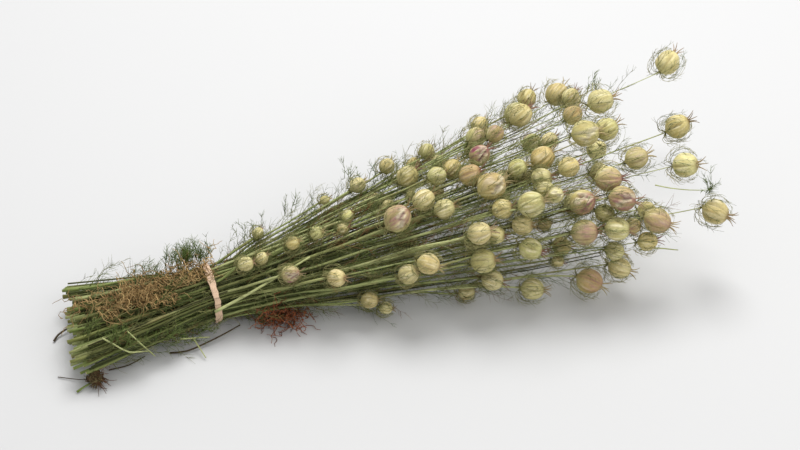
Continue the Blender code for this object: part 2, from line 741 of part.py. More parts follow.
def make_tie(material):
    def build(bm):
        rings = []
        for x, inset in ((-TIE_WIDTH / 2, 0.0), (TIE_WIDTH / 2, 0.0),
                         (TIE_WIDTH / 2, TIE_THICKNESS), (-TIE_WIDTH / 2, TIE_THICKNESS)):
            rings.append([bm.verts.new((x, y, z)) for y, z in tie_outline(inset)])
        for a, b in zip(rings, rings[1:] + rings[:1]):
            for k in range(TIE_SIDES):
                n = (k + 1) % TIE_SIDES
                bm.faces.new((a[k], a[n], b[n], b[k]))

    return mesh_object("tie", build, material)


def plan_leaves(trunk, room, owner, rng):
    """Threads that leave the stem at a slant and curl, where there is room for them. Each is kept
    by the segment of the stem and the side of it that it grows from."""
    leaves = {}
    for _ in range(26):
        if len(leaves) == LEAVES:
            break
        segment, side = int(rng.integers(0, max(1, len(trunk) - 2))), int(rng.integers(0, STEM_SIDES))
        root = trunk[segment] * (1 - THREAD_ROOT) + trunk[segment + 1] * THREAD_ROOT
        along = directions(trunk)[segment]
        u, v = across(along)
        angle = (side + 0.5) * 2 * math.pi / STEM_SIDES
        out = math.cos(angle) * u + math.sin(angle) * v
        length = LEAF_LENGTH * rng.uniform(0.6, 1.2)
        bend = root + 0.4 * length * unit(0.7 * along + out)
        tip = bend + 0.6 * length * unit(along + rng.uniform(0.0, 0.7) * out)
        if (segment, side) not in leaves and room.clear([root, bend, tip], THREAD_RADIUS, owner):
            room.take([root, bend, tip], THREAD_RADIUS, threads_of(owner))
            leaves[segment, side] = (bend, tip)
    return leaves


def plan_plants(bunch):
    """The stems, pods and leaves of every plant, with all threads clear of the other plants."""
    draws = [np.random.default_rng((SEED, number)) for number in range(len(bunch.members))]
    room = Room()
    corners = [np.array((0.0, y, z)) for y, z in tie_outline(TIE_THICKNESS / 2)]
    room.take(corners + corners[:1], TIE_WIDTH / 2 + THREAD_GAP, -1)
    plants = []
    for number, members in enumerate(bunch.members):
        members = sorted(members, key=lambda i: -bunch.centres[i, 0])
        rng = draws[number]
        across_cut = bunch.nodes[members[0], 0, 1]
        cut = STATIONS[0] + CUT_SPREAD * (rng.random() - CUT_SHORT_SHARE) + CUT_SLANT * across_cut
        stems, pods = [], []
        for i in members:
            start = 0 if i == members[0] else bunch.fork[i]
            points = bunch.nodes[i, start:bunch.last[i] + 2].copy()
            if start == 0:
                step = points[1] - points[0]
                points[0] += step * (cut - points[0, 0]) / step[0]
            stems.append(thinned(points))
            spin = rng.uniform(0, 2 * math.pi)
            pods.append(Pod(bunch.centres[i], bunch.radii[i], bunch.aims[i], spin))
            room.take(stems[-1], stem_radius(stems[-1][:-1, 0]), number)
            room.take(pods[-1].core(), pods[-1].radius, number)
        plants.append((stems, pods))
    for number, (stems, pods) in enumerate(plants):
        for pod in pods:
            pod.place_horns(room, number)
    for number, (stems, pods) in enumerate(plants):
        for pod in pods:
            pod.place_bracts(room, number, draws[number])
    return [(stems, pods, plan_leaves(stems[0], room, number, draws[number]))
            for number, (stems, pods) in enumerate(plants)]


def main():
    for obj in list(bpy.data.objects):
        bpy.data.objects.remove(obj)
    bunch = Bunch()
    bunch.settle()
    straw = plain_material("dried_plant", (0.42, 0.38, 0.17), 0.75)
    paper = plain_material("tie_paper", (0.62, 0.48, 0.33), 0.85)
    make_tie(paper)
    for number, (stems, pods, leaves) in enumerate(plan_plants(bunch)):
        make_plant(number, stems, pods, leaves, straw)


main()
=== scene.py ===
"""Looks of the tied bunch of dried nigella: every plant, thread and fibre as a fine mesh.

The places of the stems, pods and threads are worked out as in the part's own source, so each fine
plant lies where its solid lies. Metres, +Z up, origin on the table under the tie.
"""

import math

import bpy
import numpy as np
from mathutils import Matrix, Vector


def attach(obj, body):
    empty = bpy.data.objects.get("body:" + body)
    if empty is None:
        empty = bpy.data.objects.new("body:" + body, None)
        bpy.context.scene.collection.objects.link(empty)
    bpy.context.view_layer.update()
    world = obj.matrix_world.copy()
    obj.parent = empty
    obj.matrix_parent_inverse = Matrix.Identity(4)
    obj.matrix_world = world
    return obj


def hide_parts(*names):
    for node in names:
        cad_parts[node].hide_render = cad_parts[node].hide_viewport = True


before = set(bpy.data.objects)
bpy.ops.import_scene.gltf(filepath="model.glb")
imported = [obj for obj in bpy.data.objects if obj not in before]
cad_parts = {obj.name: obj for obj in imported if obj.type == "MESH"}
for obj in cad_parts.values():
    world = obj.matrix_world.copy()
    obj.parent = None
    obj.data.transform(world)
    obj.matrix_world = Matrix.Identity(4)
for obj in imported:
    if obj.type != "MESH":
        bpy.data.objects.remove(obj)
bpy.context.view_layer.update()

SEED = 11

# The camera of the photograph, in which the places of the pods were read
PHOTO_SIZE = (800, 450)
LENS_MM = 85.0
SENSOR_MM = 36.0
FOCAL_PX = PHOTO_SIZE[0] * LENS_MM / SENSOR_MM
VIEW_AZIMUTH = math.radians(-19)
VIEW_ELEVATION = math.radians(42)
VIEW_DISTANCE = 1.56
VIEW_TARGET = np.array([0.163, 0.0, 0.050])
VIEW_RIGHT = np.array([math.cos(VIEW_AZIMUTH), math.sin(VIEW_AZIMUTH), 0.0])
VIEW_BACK = np.array([
    math.sin(VIEW_AZIMUTH) * math.cos(VIEW_ELEVATION),
    -math.cos(VIEW_AZIMUTH) * math.cos(VIEW_ELEVATION),
    math.sin(VIEW_ELEVATION),
])
VIEW_UP = np.cross(VIEW_BACK, VIEW_RIGHT)
CAMERA_PLACE = VIEW_TARGET + VIEW_DISTANCE * VIEW_BACK

# Outline of the bunch across X, pinched by the tie: an upright ellipse that stands on the table
STATIONS = np.array([-0.112, -0.055, 0.0, 0.045, 0.095, 0.150, 0.205, 0.260, 0.315, 0.370])
HALF_WIDTH = (0.057, 0.042, 0.0275, 0.035, 0.046, 0.058, 0.070, 0.081, 0.088, 0.092)
HEIGHT = (0.040, 0.043, 0.047, 0.053, 0.064, 0.076, 0.088, 0.100, 0.112, 0.120)
TIE_STATION = 2
SIGHT_SPAN = (-0.40, 0.50)
SIGHT_STEP = 0.0005

# The tie, a paper band
TIE_WIDTH = 0.0062
TIE_THICKNESS = 0.0012
TIE_SLACK = 0.0007
TIE_SIDES = 20

# Stems
PLANTS = 58
STEM_SIDES = 4
STEM_RADIUS_CUT = 0.0016
STEM_RADIUS_POD = 0.0008
LONGEST_STEM = 0.40
FORK_FROM = 0.19
PODS_A_PLANT = 3
CUT_SPREAD = 0.012
CUT_SHORT_SHARE = 0.65
CUT_SLANT = 0.12
LANE_PITCH = 0.0060
PLANE_STEP = 0.010
STEM_GAP = 0.0009
POD_GAP = 0.0018

# How stems and pods are pushed apart, as shares of what is missing, and the longest moves
ROUNDS = 260
STRAIGHTEN_SHARE = 0.12
STEM_SHARE = 0.35
POD_ON_STEM_SHARE = 0.7
POD_SHARE = 0.25
STEM_MOVE = 0.0025
POD_MOVE = 0.0008
POD_ROOM = 1.04
TABLE_GAP = 0.0005
SMALLEST_POD = 0.004

# Pods
POD_STRETCH = 1.14
POD_FOOT = 0.97
RIBS = 5
POD_TOP = 0.62
HORN_REACH = 1.0
HORN_SPREAD = 0.62
HORN_SHARES = (1.0, 0.8, 0.62, 0.48, 0.36)
HORN_TURNS = 6
HORN_RADIUS = 0.0005

# How far a pod's stem fans out, leans out of the bunch and strays
FAN_CENTRE = np.array([-0.05, 0.0, 0.022])
LEAN_OUT = 0.30
STRAY = 0.22

# The pods on the side that the photograph doesn't show
HIDDEN_PODS = 14
HIDDEN_FROM = 0.13
HIDDEN_SPAN = 0.27
HIDDEN_ARC = (-95, 130)
HIDDEN_WIDTH = (0.013, 0.007)

# Threads: the bracts round a pod and the leaves along a stem
THREAD_RADIUS = 0.00046
THREAD_GAP = 0.0003
THREAD_ROOT = 0.22
BRACTS = 3
LEAVES = 2
LEAF_LENGTH = 0.034

# Each pod seen in the photograph: its pixel, its width, and how far it lies behind the outline
PODS = (
    (668, 62, .0205, .0), (678, 126, .0195, 0), (686, 165, .0200, 0), (716, 212, .0205, 0),
    (601, 101, .0205, 0), (557, 94, .0195, 0), (571, 97, .0150, .015), (527, 98, .0160, .010),
    (521, 115, .0190, 0), (573, 115, .0160, .010), (586, 133, .0215, 0), (607, 129, .0185, .008),
    (480, 125, .0150, .012), (495, 134, .0150, 0), (476, 137, .0165, 0), (480, 155, .0170, 0),
    (550, 140, .0130, .020), (543, 158, .0195, 0), (518, 168, .0150, .010), (523, 178, .0140, .030),
    (569, 167, .0165, .010), (637, 158, .0180, 0), (452, 169, .0165, .010), (437, 176, .0155, 0),
    (471, 175, .0180, 0), (492, 186, .0225, 0), (503, 179, .0150, .020), (542, 178, .0165, .006),
    (546, 190, .0140, .004), (556, 195, .0125, -.004), (600, 172, .0150, .020), (609, 179, .0205, 0),
    (583, 202, .0200, 0), (623, 199, .0205, 0), (424, 200, .0180, 0), (445, 209, .0165, 0),
    (503, 209, .0165, -.003), (532, 204, .0205, 0), (605, 213, .0150, .004), (427, 151, .0130, 0),
    (438, 161, .0105, .015), (480, 233, .0180, 0), (496, 235, .0150, .012), (523, 225, .0165, .004),
    (531, 249, .0175, 0), (484, 261, .0195, 0), (493, 280, .0170, 0), (467, 292, .0130, .010),
    (533, 289, .0180, 0), (429, 264, .0170, 0), (562, 246, .0150, .020), (558, 261, .0100, .020),
    (545, 224, .0110, .030), (585, 232, .0205, 0), (618, 229, .0190, 0), (633, 226, .0130, .012),
    (615, 251, .0150, .004), (620, 268, .0180, 0), (590, 281, .0205, 0), (648, 241, .0155, 0),
    (658, 221, .0205, 0), (325, 200, .0105, 0), (358, 185, .0130, 0), (387, 166, .0130, 0),
    (408, 176, .0175, 0), (411, 195, .0115, .003), (389, 206, .0165, .012), (398, 218, .0215, 0),
    (348, 216, .0100, .004), (343, 229, .0100, .008), (293, 243, .0110, .004), (317, 233, .0110, .004),
    (258, 233, .0095, 0), (246, 264, .0120, 0), (262, 258, .0100, .004), (291, 274, .0140, 0),
    (337, 278, .0145, 0), (409, 274, .0165, .004), (370, 300, .0135, 0), (386, 308, .0105, 0),
)


def unit(v):
    return v / np.linalg.norm(v)


def outline(x):
    """Half width and height of the bunch at x."""
    return np.interp(x, STATIONS, HALF_WIDTH), np.interp(x, STATIONS, HEIGHT)


def stem_radius(x):
    return np.interp(x, (STATIONS[0], LONGEST_STEM), (STEM_RADIUS_CUT, STEM_RADIUS_POD))


def sight_ray(px, py):
    """The direction of the line of sight through a pixel."""
    return unit(((px - PHOTO_SIZE[0] / 2) * VIEW_RIGHT - (py - PHOTO_SIZE[1] / 2) * VIEW_UP) / FOCAL_PX
                - VIEW_BACK)


def pod_place(px, py, sunk):
    """The point behind a pixel where the line of sight meets the outline, or passes nearest to it."""
    ray = sight_ray(px, py)
    along = np.arange(VIEW_DISTANCE + SIGHT_SPAN[0], VIEW_DISTANCE + SIGHT_SPAN[1], SIGHT_STEP)
    points = CAMERA_PLACE + along[:, None] * ray
    half_width, height = outline(points[:, 0])
    rim = (points[:, 1] / half_width) ** 2 + (points[:, 2] / (height / 2) - 1) ** 2
    inside = np.nonzero(rim <= 1.0)[0]
    first = inside[0] if len(inside) else int(np.argmin(rim))
    return points[first] + sunk * ray


def hidden_pods(rng):
    """Pods on the side that the photograph doesn't show, at golden-angle steps round it."""
    made = []
    for k in range(HIDDEN_PODS):
        x = HIDDEN_FROM + HIDDEN_SPAN * ((k + 0.5) / HIDDEN_PODS)
        around = math.radians(HIDDEN_ARC[0] + HIDDEN_ARC[1] * ((k * 0.618) % 1.0))
        half_width, height = outline(x)
        width = HIDDEN_WIDTH[0] + HIDDEN_WIDTH[1] * rng.random()
        made.append((np.array([x, 0.97 * half_width * math.cos(around),
                               height / 2 * (1 + 0.97 * math.sin(around))]), width))
    return made


def place_pods():
    """Centre, radius and aim of every pod. A pod aims along its stem and leans out of the bunch."""
    rng = np.random.default_rng(SEED)
    found = [(pod_place(px, py, sunk), width) for px, py, width, sunk in PODS] + hidden_pods(rng)
    centres = np.array([place for place, _ in found])
    radii = np.array([width / 2 for _, width in found])
    aims = []
    for centre in centres:
        _, height = outline(centre[0])
        fan = unit(centre - FAN_CENTRE)
        out = np.array([0.0, centre[1], centre[2] - height / 2])
        out = out / max(np.linalg.norm(out), 0.02)
        aims.append(unit(fan + LEAN_OUT * out + STRAY * rng.normal(size=3)))
    return centres, radii, np.array(aims)


def round_coords(points):
    """Place of each point across the bunch, as shares of the outline's half width and half height."""
    half_width, height = outline(points[..., 0])
    return np.stack([points[..., 1] / half_width, points[..., 2] / (height / 2) - 1], -1)


def group_plants(centres):
    """Plant number of each pod: the nearest pods share a forked stem, up to three of them."""
    across = round_coords(centres)
    plant = list(range(len(centres)))
    pairs = []
    for i in range(len(centres)):
        for j in range(i):
            if min(centres[i, 0], centres[j, 0]) > FORK_FROM:
                apart = math.hypot(*(across[i] - across[j]))
                pairs.append((apart + 1.5 * abs(centres[i, 0] - centres[j, 0]), i, j))
    for _, i, j in sorted(pairs):
        if len(set(plant)) == PLANTS:
            break
        a, b = plant[i], plant[j]
        if a != b and plant.count(a) + plant.count(b) <= PODS_A_PLANT:
            plant = [a if p == b else p for p in plant]
    names = sorted(set(plant))
    return np.array([names.index(p) for p in plant])


def tie_lanes():
    """Hexagonal lanes for the stems inside the tie, as shares of its outline, middle ones first."""
    half_width, height = outline(0.0)
    inset = TIE_THICKNESS + TIE_SLACK + STEM_RADIUS_CUT
    rows = int(height / LANE_PITCH) + 2
    lanes = []
    for row in range(-rows, rows + 1):
        for col in range(-rows, rows + 1):
            y = (col + 0.5 * (row % 2)) * LANE_PITCH
            z = (row + 0.5) * LANE_PITCH * math.sqrt(0.75)
            lanes.append((y / (half_width - inset), z / (height / 2 - inset)))
    lanes.sort(key=lambda lane: math.hypot(*lane))
    lanes = np.array(lanes[:PLANTS])
    return lanes * (1 - inset / np.array([half_width, height / 2])) / np.hypot(*lanes.T).max()


def assign_lanes(wanted, weight, lanes):
    """One lane for each plant: swaps go on while they bring plants nearer to where their pods lie."""
    everyone = np.arange(len(wanted))
    lane_of = np.empty(len(wanted), int)
    lane_of[np.argsort(np.hypot(*wanted.T))] = everyone
    cost = ((wanted[:, None] - lanes[None]) ** 2).sum(-1) * weight[:, None]
    better = True
    while better:
        better = False
        for i in everyone:
            now = cost[i, lane_of[i]] + cost[everyone, lane_of]
            gain = now - cost[i, lane_of] - cost[everyone, lane_of[i]]
            j = int(np.argmax(gain))
            if gain[j] > 1e-9:
                lane_of[i], lane_of[j] = lane_of[j], lane_of[i]
                better = True
    return lane_of


class Bunch:
    """The stems and pods while they are pushed apart. Stem i belongs to pod i: it runs through
    nodes[i, 0] to nodes[i, last[i] + 1], its foot. The stems of a plant are one up to the fork."""

    def __init__(self):
        self.centres, self.radii, self.aims = place_pods()
        self.first_aims = self.aims.copy()
        self.plant = group_plants(self.centres)
        self.members = [np.nonzero(self.plant == p)[0] for p in range(PLANTS)]
        self.everyone = np.arange(len(self.centres))
        self.other = self.plant[:, None] != self.plant[None, :]
        self.sights = np.array([unit(centre - CAMERA_PLACE) for centre in self.centres])
        self.last = (STATIONS[None] < self.feet()[:, :1] - 0.020).sum(1) - 1
        self.fork = np.full(len(self.centres), -1)
        for m in self.members:
            if len(m) > 1:
                self.fork[m] = max(TIE_STATION, self.last[m].min() - 1)
        self.nodes = self.first_stems()

    def feet(self):
        """Where the stems meet their pods."""
        return self.centres - self.aims * (self.radii * POD_STRETCH * POD_FOOT)[:, None]

    def first_stems(self):
        here = round_coords(self.centres)
        here /= np.maximum(np.hypot(here[:, :1], here[:, 1:]) / 0.97, 1.0)
        wanted = np.array([here[m].mean(0) for m in self.members])
        weight = np.array([1.0 / (0.05 + self.centres[m, 0].min()) for m in self.members])
        lanes = tie_lanes()
        lane = lanes[assign_lanes(wanted, weight, lanes)][self.plant]
        half_width, height = outline(STATIONS)
        nodes = np.zeros((len(self.centres), len(STATIONS) + 1, 3))
        for i in self.everyone:
            for k in range(self.last[i] + 1):
                t = np.clip(STATIONS[k] / max(self.centres[i, 0] - 0.01, 0.03), 0.0, 1.0)
                t = t * t * (3 - 2 * t)
                u, v = lane[i] * (1 - t) + here[i] * t * 0.93
                nodes[i, k] = STATIONS[k], u * half_width[k], height[k] / 2 * (1 + v)
        nodes[self.everyone, self.last + 1] = self.feet()
        return nodes

    def settle(self):
        """Pushes what comes too close apart, a little in each round."""
        planes = np.arange(STATIONS[0], 0.425, PLANE_STEP)
        for turn in range(ROUNDS):
            self.nodes[self.everyone, self.last + 1] = self.feet()
            self.straighten()
            self.part_stems(planes[turn % 2::2])
            self.turn_pods()
            self.part_pods()
            self.keep_outline()
            for m in self.members:
                if len(m) > 1:
                    self.nodes[m, :self.fork[m[0]] + 1] = self.nodes[m, :self.fork[m[0]] + 1].mean(0)
        self.fit_pods()
        self.nodes[self.everyone, self.last + 1] = self.feet()

    def straighten(self):
        for k in range(TIE_STATION + 1, len(STATIONS)):
            on = self.last >= k
            before, after = self.nodes[on, k - 1], self.nodes[on, k + 1]
            w = ((STATIONS[k] - before[:, 0]) / (after[:, 0] - before[:, 0]))[:, None]
            between = before[:, 1:] * (1 - w) + after[:, 1:] * w
            self.nodes[on, k, 1:] += STRAIGHTEN_SHARE * (between - self.nodes[on, k, 1:])

    def crossings(self, planes):
        """Where each stem crosses each plane of x: its segment, the share along it and the point."""
        column = np.arange(len(STATIONS) + 1)
        xs = np.where(column[None] <= (self.last + 1)[:, None], self.nodes[:, :, 0], 9.0)
        left = (xs[:, None, :] <= planes[None, :, None]).sum(-1) - 1
        on = (left >= 0) & (left <= self.last[:, None])
        left = np.clip(left, 0, self.last[:, None])
        start = self.nodes[self.everyone[:, None], left]
        end = self.nodes[self.everyone[:, None], left + 1]
        share = ((planes[None] - start[..., 0]) / (end[..., 0] - start[..., 0]))[..., None]
        at = (start * (1 - share) + end * share)[..., 1:].transpose(1, 0, 2)
        return left, share, at, on.T

    def part_stems(self, planes):
        """Stems push each other apart, and pods push stems aside and move along the line of sight."""
        radius = stem_radius(planes)
        left, share, at, on = self.crossings(planes)
        need = (2 * radius + STEM_GAP)[:, None, None] * 1.08
        apart = at[:, :, None] - at[:, None]
        dist = np.maximum(np.linalg.norm(apart, axis=-1), 1e-6)
        close = self.other[None] & on[:, :, None] & on[:, None] & (dist < need)
        move = (np.where(close, (need - dist) / dist * STEM_SHARE, 0.0)[..., None] * apart).sum(2)

        offset = (planes[:, None] - self.centres[None, :, 0]) / (self.radii * POD_STRETCH)
        thick = np.clip(1 - offset ** 2, 0, 1)
        need = (self.radii[None] * np.sqrt(thick) + radius[:, None] + POD_GAP)[:, None]
        apart = at[:, :, None] - self.centres[None, None, :, 1:]
        dist = np.maximum(np.linalg.norm(apart, axis=-1), 1e-6)
        close = self.other[None] & on[:, :, None] & (thick > 0)[:, None] & (dist < need)
        press = np.where(close, (need - dist) / dist * POD_ON_STEM_SHARE, 0.0)[..., None] * apart
        move += press.sum(2)
        back = -(press.sum((0, 1)) * self.sights[:, 1:]).sum(1)
        self.centres += np.clip(back * 0.5, -POD_MOVE, POD_MOVE)[:, None] * self.sights

        move = np.pad(move.transpose(1, 0, 2), ((0, 0), (0, 0), (1, 0)))
        shift = np.zeros_like(self.nodes)
        np.add.at(shift, (self.everyone[:, None], left), move * (1 - share))
        np.add.at(shift, (self.everyone[:, None], left + 1), move * share)
        size = np.linalg.norm(shift, axis=-1, keepdims=True)
        shift *= np.minimum(1.0, STEM_MOVE / np.maximum(size, 1e-9))
        shift[:, :TIE_STATION + 1] = 0
        self.nodes += shift

    def turn_pods(self):
        """A pod turns with the foot of its stem."""
        aims = self.centres - self.nodes[self.everyone, self.last + 1]
        aims /= np.linalg.norm(aims, axis=1, keepdims=True)
        aims += 0.05 * self.first_aims
        self.aims = aims / np.linalg.norm(aims, axis=1, keepdims=True)

    def part_pods(self):
        """Pods keep apart along the line of sight, and stay on the table."""
        need = (self.radii[:, None] + self.radii[None]) * POD_ROOM + 0.0015
        dist = np.linalg.norm(self.centres[:, None] - self.centres[None], axis=-1)
        for i, j in zip(*np.nonzero(np.triu(dist < need, 1))):
            apart = self.centres[i] - self.centres[j]
            depth = apart @ self.sights[i]
            side = np.linalg.norm(apart - depth * self.sights[i])
            want = math.sqrt(max(need[i, j] ** 2 - side ** 2, 0.0))
            grow = POD_SHARE * (want - abs(depth)) * (1 if depth >= 0 else -1)
            self.centres[i] += grow * self.sights[i]
            self.centres[j] -= grow * self.sights[j]
        low = np.maximum(self.radii * 1.02 - self.centres[:, 2], 0.0) / self.sights[:, 2]
        self.centres += low[:, None] * self.sights

    def keep_outline(self):
        """The stems stay inside the outline and on the table."""
        for k in range(TIE_STATION + 1, len(STATIONS)):
            half_width, height = outline(STATIONS[k])
            radius = stem_radius(STATIONS[k])
            room = np.array((half_width * 1.03 - radius, height / 2 - radius))
            coords = (self.nodes[:, k, 1:] - (0, height / 2)) / room
            coords /= np.maximum(np.linalg.norm(coords, axis=1), 1.0)[:, None]
            self.nodes[:, k, 1:] = coords * room + (0, height / 2)
            self.nodes[:, k, 2] = np.maximum(self.nodes[:, k, 2], radius * 1.05 + TABLE_GAP)

    def fit_pods(self):
        """A pod that still lies too near a stem of another plant gets a little smaller."""
        starts, ends, thick, owner = [], [], [], []
        for i in self.everyone:
            for k in range(self.last[i] + 1):
                starts.append(self.nodes[i, k])
                ends.append(self.nodes[i, k + 1])
                thick.append(stem_radius(self.nodes[i, k, 0]))
                owner.append(self.plant[i])
        starts, ends, thick, owner = map(np.array, (starts, ends, thick, owner))
        for i in self.everyone:
            away = point_to_segments(self.centres[i], starts, ends) - thick
            room = away[owner != self.plant[i]].min() - 0.0005
            self.radii[i] = max(min(self.radii[i], room), SMALLEST_POD)


def point_to_segments(point, starts, ends):
    along = ends - starts
    share = ((point - starts) * along).sum(1) / np.maximum((along ** 2).sum(1), 1e-12)
    return np.linalg.norm(starts + np.clip(share, 0, 1)[:, None] * along - point, axis=1)


def segment_to_segments(a, b, starts, ends):
    """Least distance from the segment ab to each of the others."""
    d1, d2, r = b - a, ends - starts, a - starts
    aa, ee = d1 @ d1, np.maximum((d2 ** 2).sum(1), 1e-12)
    f, c, bb = (d2 * r).sum(1), r @ d1, d2 @ d1
    s = np.clip((bb * f - c * ee) / np.maximum(aa * ee - bb * bb, 1e-12), 0, 1)
    t = np.clip((bb * s + f) / ee, 0, 1)
    s = np.clip((bb * t - c) / max(aa, 1e-12), 0, 1)
    t = np.clip((bb * s + f) / ee, 0, 1)
    return np.linalg.norm(a + s[:, None] * d1 - starts - t[:, None] * d2, axis=1)


class Room:
    """The space that is taken so far, as rounded rods that each belong to a plant or to the tie."""

    def __init__(self):
        self.starts = np.zeros((0, 3))
        self.ends = np.zeros((0, 3))
        self.thick = np.zeros(0)
        self.owner = np.zeros(0, int)

    def take(self, points, radius, owner):
        """Adds the rods along a row of points."""
        points = np.asarray(points)
        count = len(points) - 1
        self.starts = np.vstack([self.starts, points[:-1]])
        self.ends = np.vstack([self.ends, points[1:]])
        self.thick = np.append(self.thick, np.broadcast_to(radius, count))
        self.owner = np.append(self.owner, np.full(count, owner))

    def clear(self, points, radius, owner, gap=THREAD_GAP):
        """True when a rod along the points stays clear of the table and of everything else."""
        if min(p[2] for p in points[1:]) < radius + gap:
            return False
        others = self.owner != owner
        starts, ends, thick = self.starts[others], self.ends[others], self.thick[others]
        for a, b in zip(points[:-1], points[1:]):
            near = segment_to_segments(a, b, starts, ends) - thick
            if near.min() < radius + gap:
                return False
        return True


def threads_of(owner):
    """The owner under which a plant's threads are taken, so that each new one stays clear of them."""
    return owner + PLANTS


def across(direction):
    """Two unit vectors u and v, square to a direction, with u, v and the direction right-handed."""
    u = unit(np.cross(direction, (0.0, 0.0, 1.0) if abs(direction[2]) < 0.9 else (1.0, 0.0, 0.0)))
    return u, np.cross(direction, u)


def directions(points):
    """The direction of a row of points at each of them."""
    points = np.asarray(points)
    steps = np.diff(points, axis=0)
    steps /= np.linalg.norm(steps, axis=1, keepdims=True)
    return [steps[0]] + [unit(a + b) for a, b in zip(steps[:-1], steps[1:])] + [steps[-1]]


class Pod:
    """A seed pod on its stem: where it lies, how it is turned, its horns and its bracts."""

    def __init__(self, centre, radius, aim, spin):
        self.centre, self.radius, self.aim, self.spin = centre, radius, aim, spin
        self.horn = HORN_REACH
        self.bracts = {}

    def at(self, along, out, angle):
        """A point by its place along the pod's axis and out from it, in radii."""
        u, v = across(self.aim)
        radial = math.cos(self.spin + angle) * u + math.sin(self.spin + angle) * v
        return self.centre + self.radius * (along * self.aim + out * radial)

    def horn_tip(self, k):
        reach = POD_STRETCH * POD_TOP + self.horn
        return self.at(reach, HORN_SPREAD, k * 2 * math.pi / RIBS)

    def core(self):
        """The two ends of a rod as thick as the pod, that fills most of it."""
        half = self.radius * (POD_STRETCH - 1.0)
        return [self.centre - half * self.aim, self.centre + half * self.aim]

    def place_horns(self, room, owner):
        """Turns the pod, and shortens its horns where it must, until they are clear."""
        choices = [(horn, self.spin + turn * 2 * math.pi / RIBS / HORN_TURNS)
                   for horn in HORN_SHARES for turn in range(HORN_TURNS)]
        for self.horn, self.spin in choices:
            if self.horn <= HORN_SHARES[-1] or all(
                    room.clear([self.at(0.5, 0.4, k * 2 * math.pi / RIBS), self.horn_tip(k)],
                               1.2 * HORN_RADIUS, owner) for k in range(RIBS)):
                break
        for k in range(RIBS):
            rod = [self.at(0.7, 0.5, k * 2 * math.pi / RIBS), self.horn_tip(k)]
            room.take(rod, HORN_RADIUS, threads_of(owner))

    def place_bracts(self, room, owner, rng):
        """Threads that rise from the foot of the pod and bow round it, where there is room."""
        for k in range(BRACTS):
            for _ in range(14):
                side = int(2 * RIBS * (k + rng.uniform(-0.2, 1.2)) / BRACTS) % (2 * RIBS)
                angle = (side + 0.5) * math.pi / RIBS
                bow, lean = rng.uniform(1.25, 1.44), rng.uniform(-0.4, 0.4)
                reach = rng.uniform(0.7, 1.5)
                points = [self.at(-0.65, 0.75, angle), self.at(-0.2, bow, angle),
                          self.at(reach, bow * 0.92, angle + lean)]
                if side not in self.bracts and room.clear(points, THREAD_RADIUS, owner):
                    room.take(points, THREAD_RADIUS, threads_of(owner))
                    self.bracts[side] = points[1:]
                    break


def thinned(points, tolerance=0.0004):
    """The points without those that lie on the line between their neighbours."""
    kept = [points[0]]
    for k in range(1, len(points) - 1):
        if point_to_segments(points[k], kept[-1][None], points[k + 1][None])[0] > tolerance:
            kept.append(points[k])
    return np.array(kept + [points[-1]])


def tie_outline(inset):
    """The ring of the tie, flat below: its corners lie round an ellipse."""
    half_width, height = outline(0.0)
    half_step = math.pi / TIE_SIDES
    stretch = 1 / math.cos(half_step)
    corners = []
    for k in range(TIE_SIDES):
        a = -math.pi / 2 + (2 * k + 1) * half_step
        corners.append((stretch * (half_width - inset) * math.cos(a),
                        height / 2 + stretch * (height / 2 - inset) * math.sin(a)))
    return corners


def plan_leaves(trunk, room, owner, rng):
    """Threads that leave the stem at a slant and curl, where there is room for them. Each is kept
    by the segment of the stem and the side of it that it grows from."""
    leaves = {}
    for _ in range(26):
        if len(leaves) == LEAVES:
            break
        segment = int(rng.integers(0, max(1, len(trunk) - 2)))
        side = int(rng.integers(0, STEM_SIDES))
        root = trunk[segment] * (1 - THREAD_ROOT) + trunk[segment + 1] * THREAD_ROOT
        along = directions(trunk)[segment]
        u, v = across(along)
        angle = (side + 0.5) * 2 * math.pi / STEM_SIDES
        out = math.cos(angle) * u + math.sin(angle) * v
        length = LEAF_LENGTH * rng.uniform(0.6, 1.2)
        bend = root + 0.4 * length * unit(0.7 * along + out)
        tip = bend + 0.6 * length * unit(along + rng.uniform(0.0, 0.7) * out)
        if (segment, side) not in leaves and room.clear([root, bend, tip], THREAD_RADIUS, owner):
            room.take([root, bend, tip], THREAD_RADIUS, threads_of(owner))
            leaves[segment, side] = (bend, tip)
    return leaves


def plan_plants(bunch):
    """The stems, pods and leaves of every plant, with all threads clear of the other plants."""
    draws = [np.random.default_rng((SEED, number)) for number in range(len(bunch.members))]
    room = Room()
    corners = [np.array((0.0, y, z)) for y, z in tie_outline(TIE_THICKNESS / 2)]
    room.take(corners + corners[:1], TIE_WIDTH / 2 + THREAD_GAP, -1)
    plants = []
    for number, members in enumerate(bunch.members):
        members = sorted(members, key=lambda i: -bunch.centres[i, 0])
        rng = draws[number]
        across_cut = bunch.nodes[members[0], 0, 1]
        cut = STATIONS[0] + CUT_SPREAD * (rng.random() - CUT_SHORT_SHARE) + CUT_SLANT * across_cut
        stems, pods = [], []
        for i in members:
            start = 0 if i == members[0] else bunch.fork[i]
            points = bunch.nodes[i, start:bunch.last[i] + 2].copy()
            if start == 0:
                step = points[1] - points[0]
                points[0] += step * (cut - points[0, 0]) / step[0]
            stems.append(thinned(points))
            spin = rng.uniform(0, 2 * math.pi)
            pods.append(Pod(bunch.centres[i], bunch.radii[i], bunch.aims[i], spin))
            room.take(stems[-1], stem_radius(stems[-1][:-1, 0]), number)
            room.take(pods[-1].core(), pods[-1].radius, number)
        plants.append((stems, pods))
    for number, (stems, pods) in enumerate(plants):
        for pod in pods:
            pod.place_horns(room, number)
    for number, (stems, pods) in enumerate(plants):
        for pod in pods:
            pod.place_bracts(room, number, draws[number])
    return [(stems, pods, plan_leaves(stems[0], room, number, draws[number]))
            for number, (stems, pods) in enumerate(plants)]


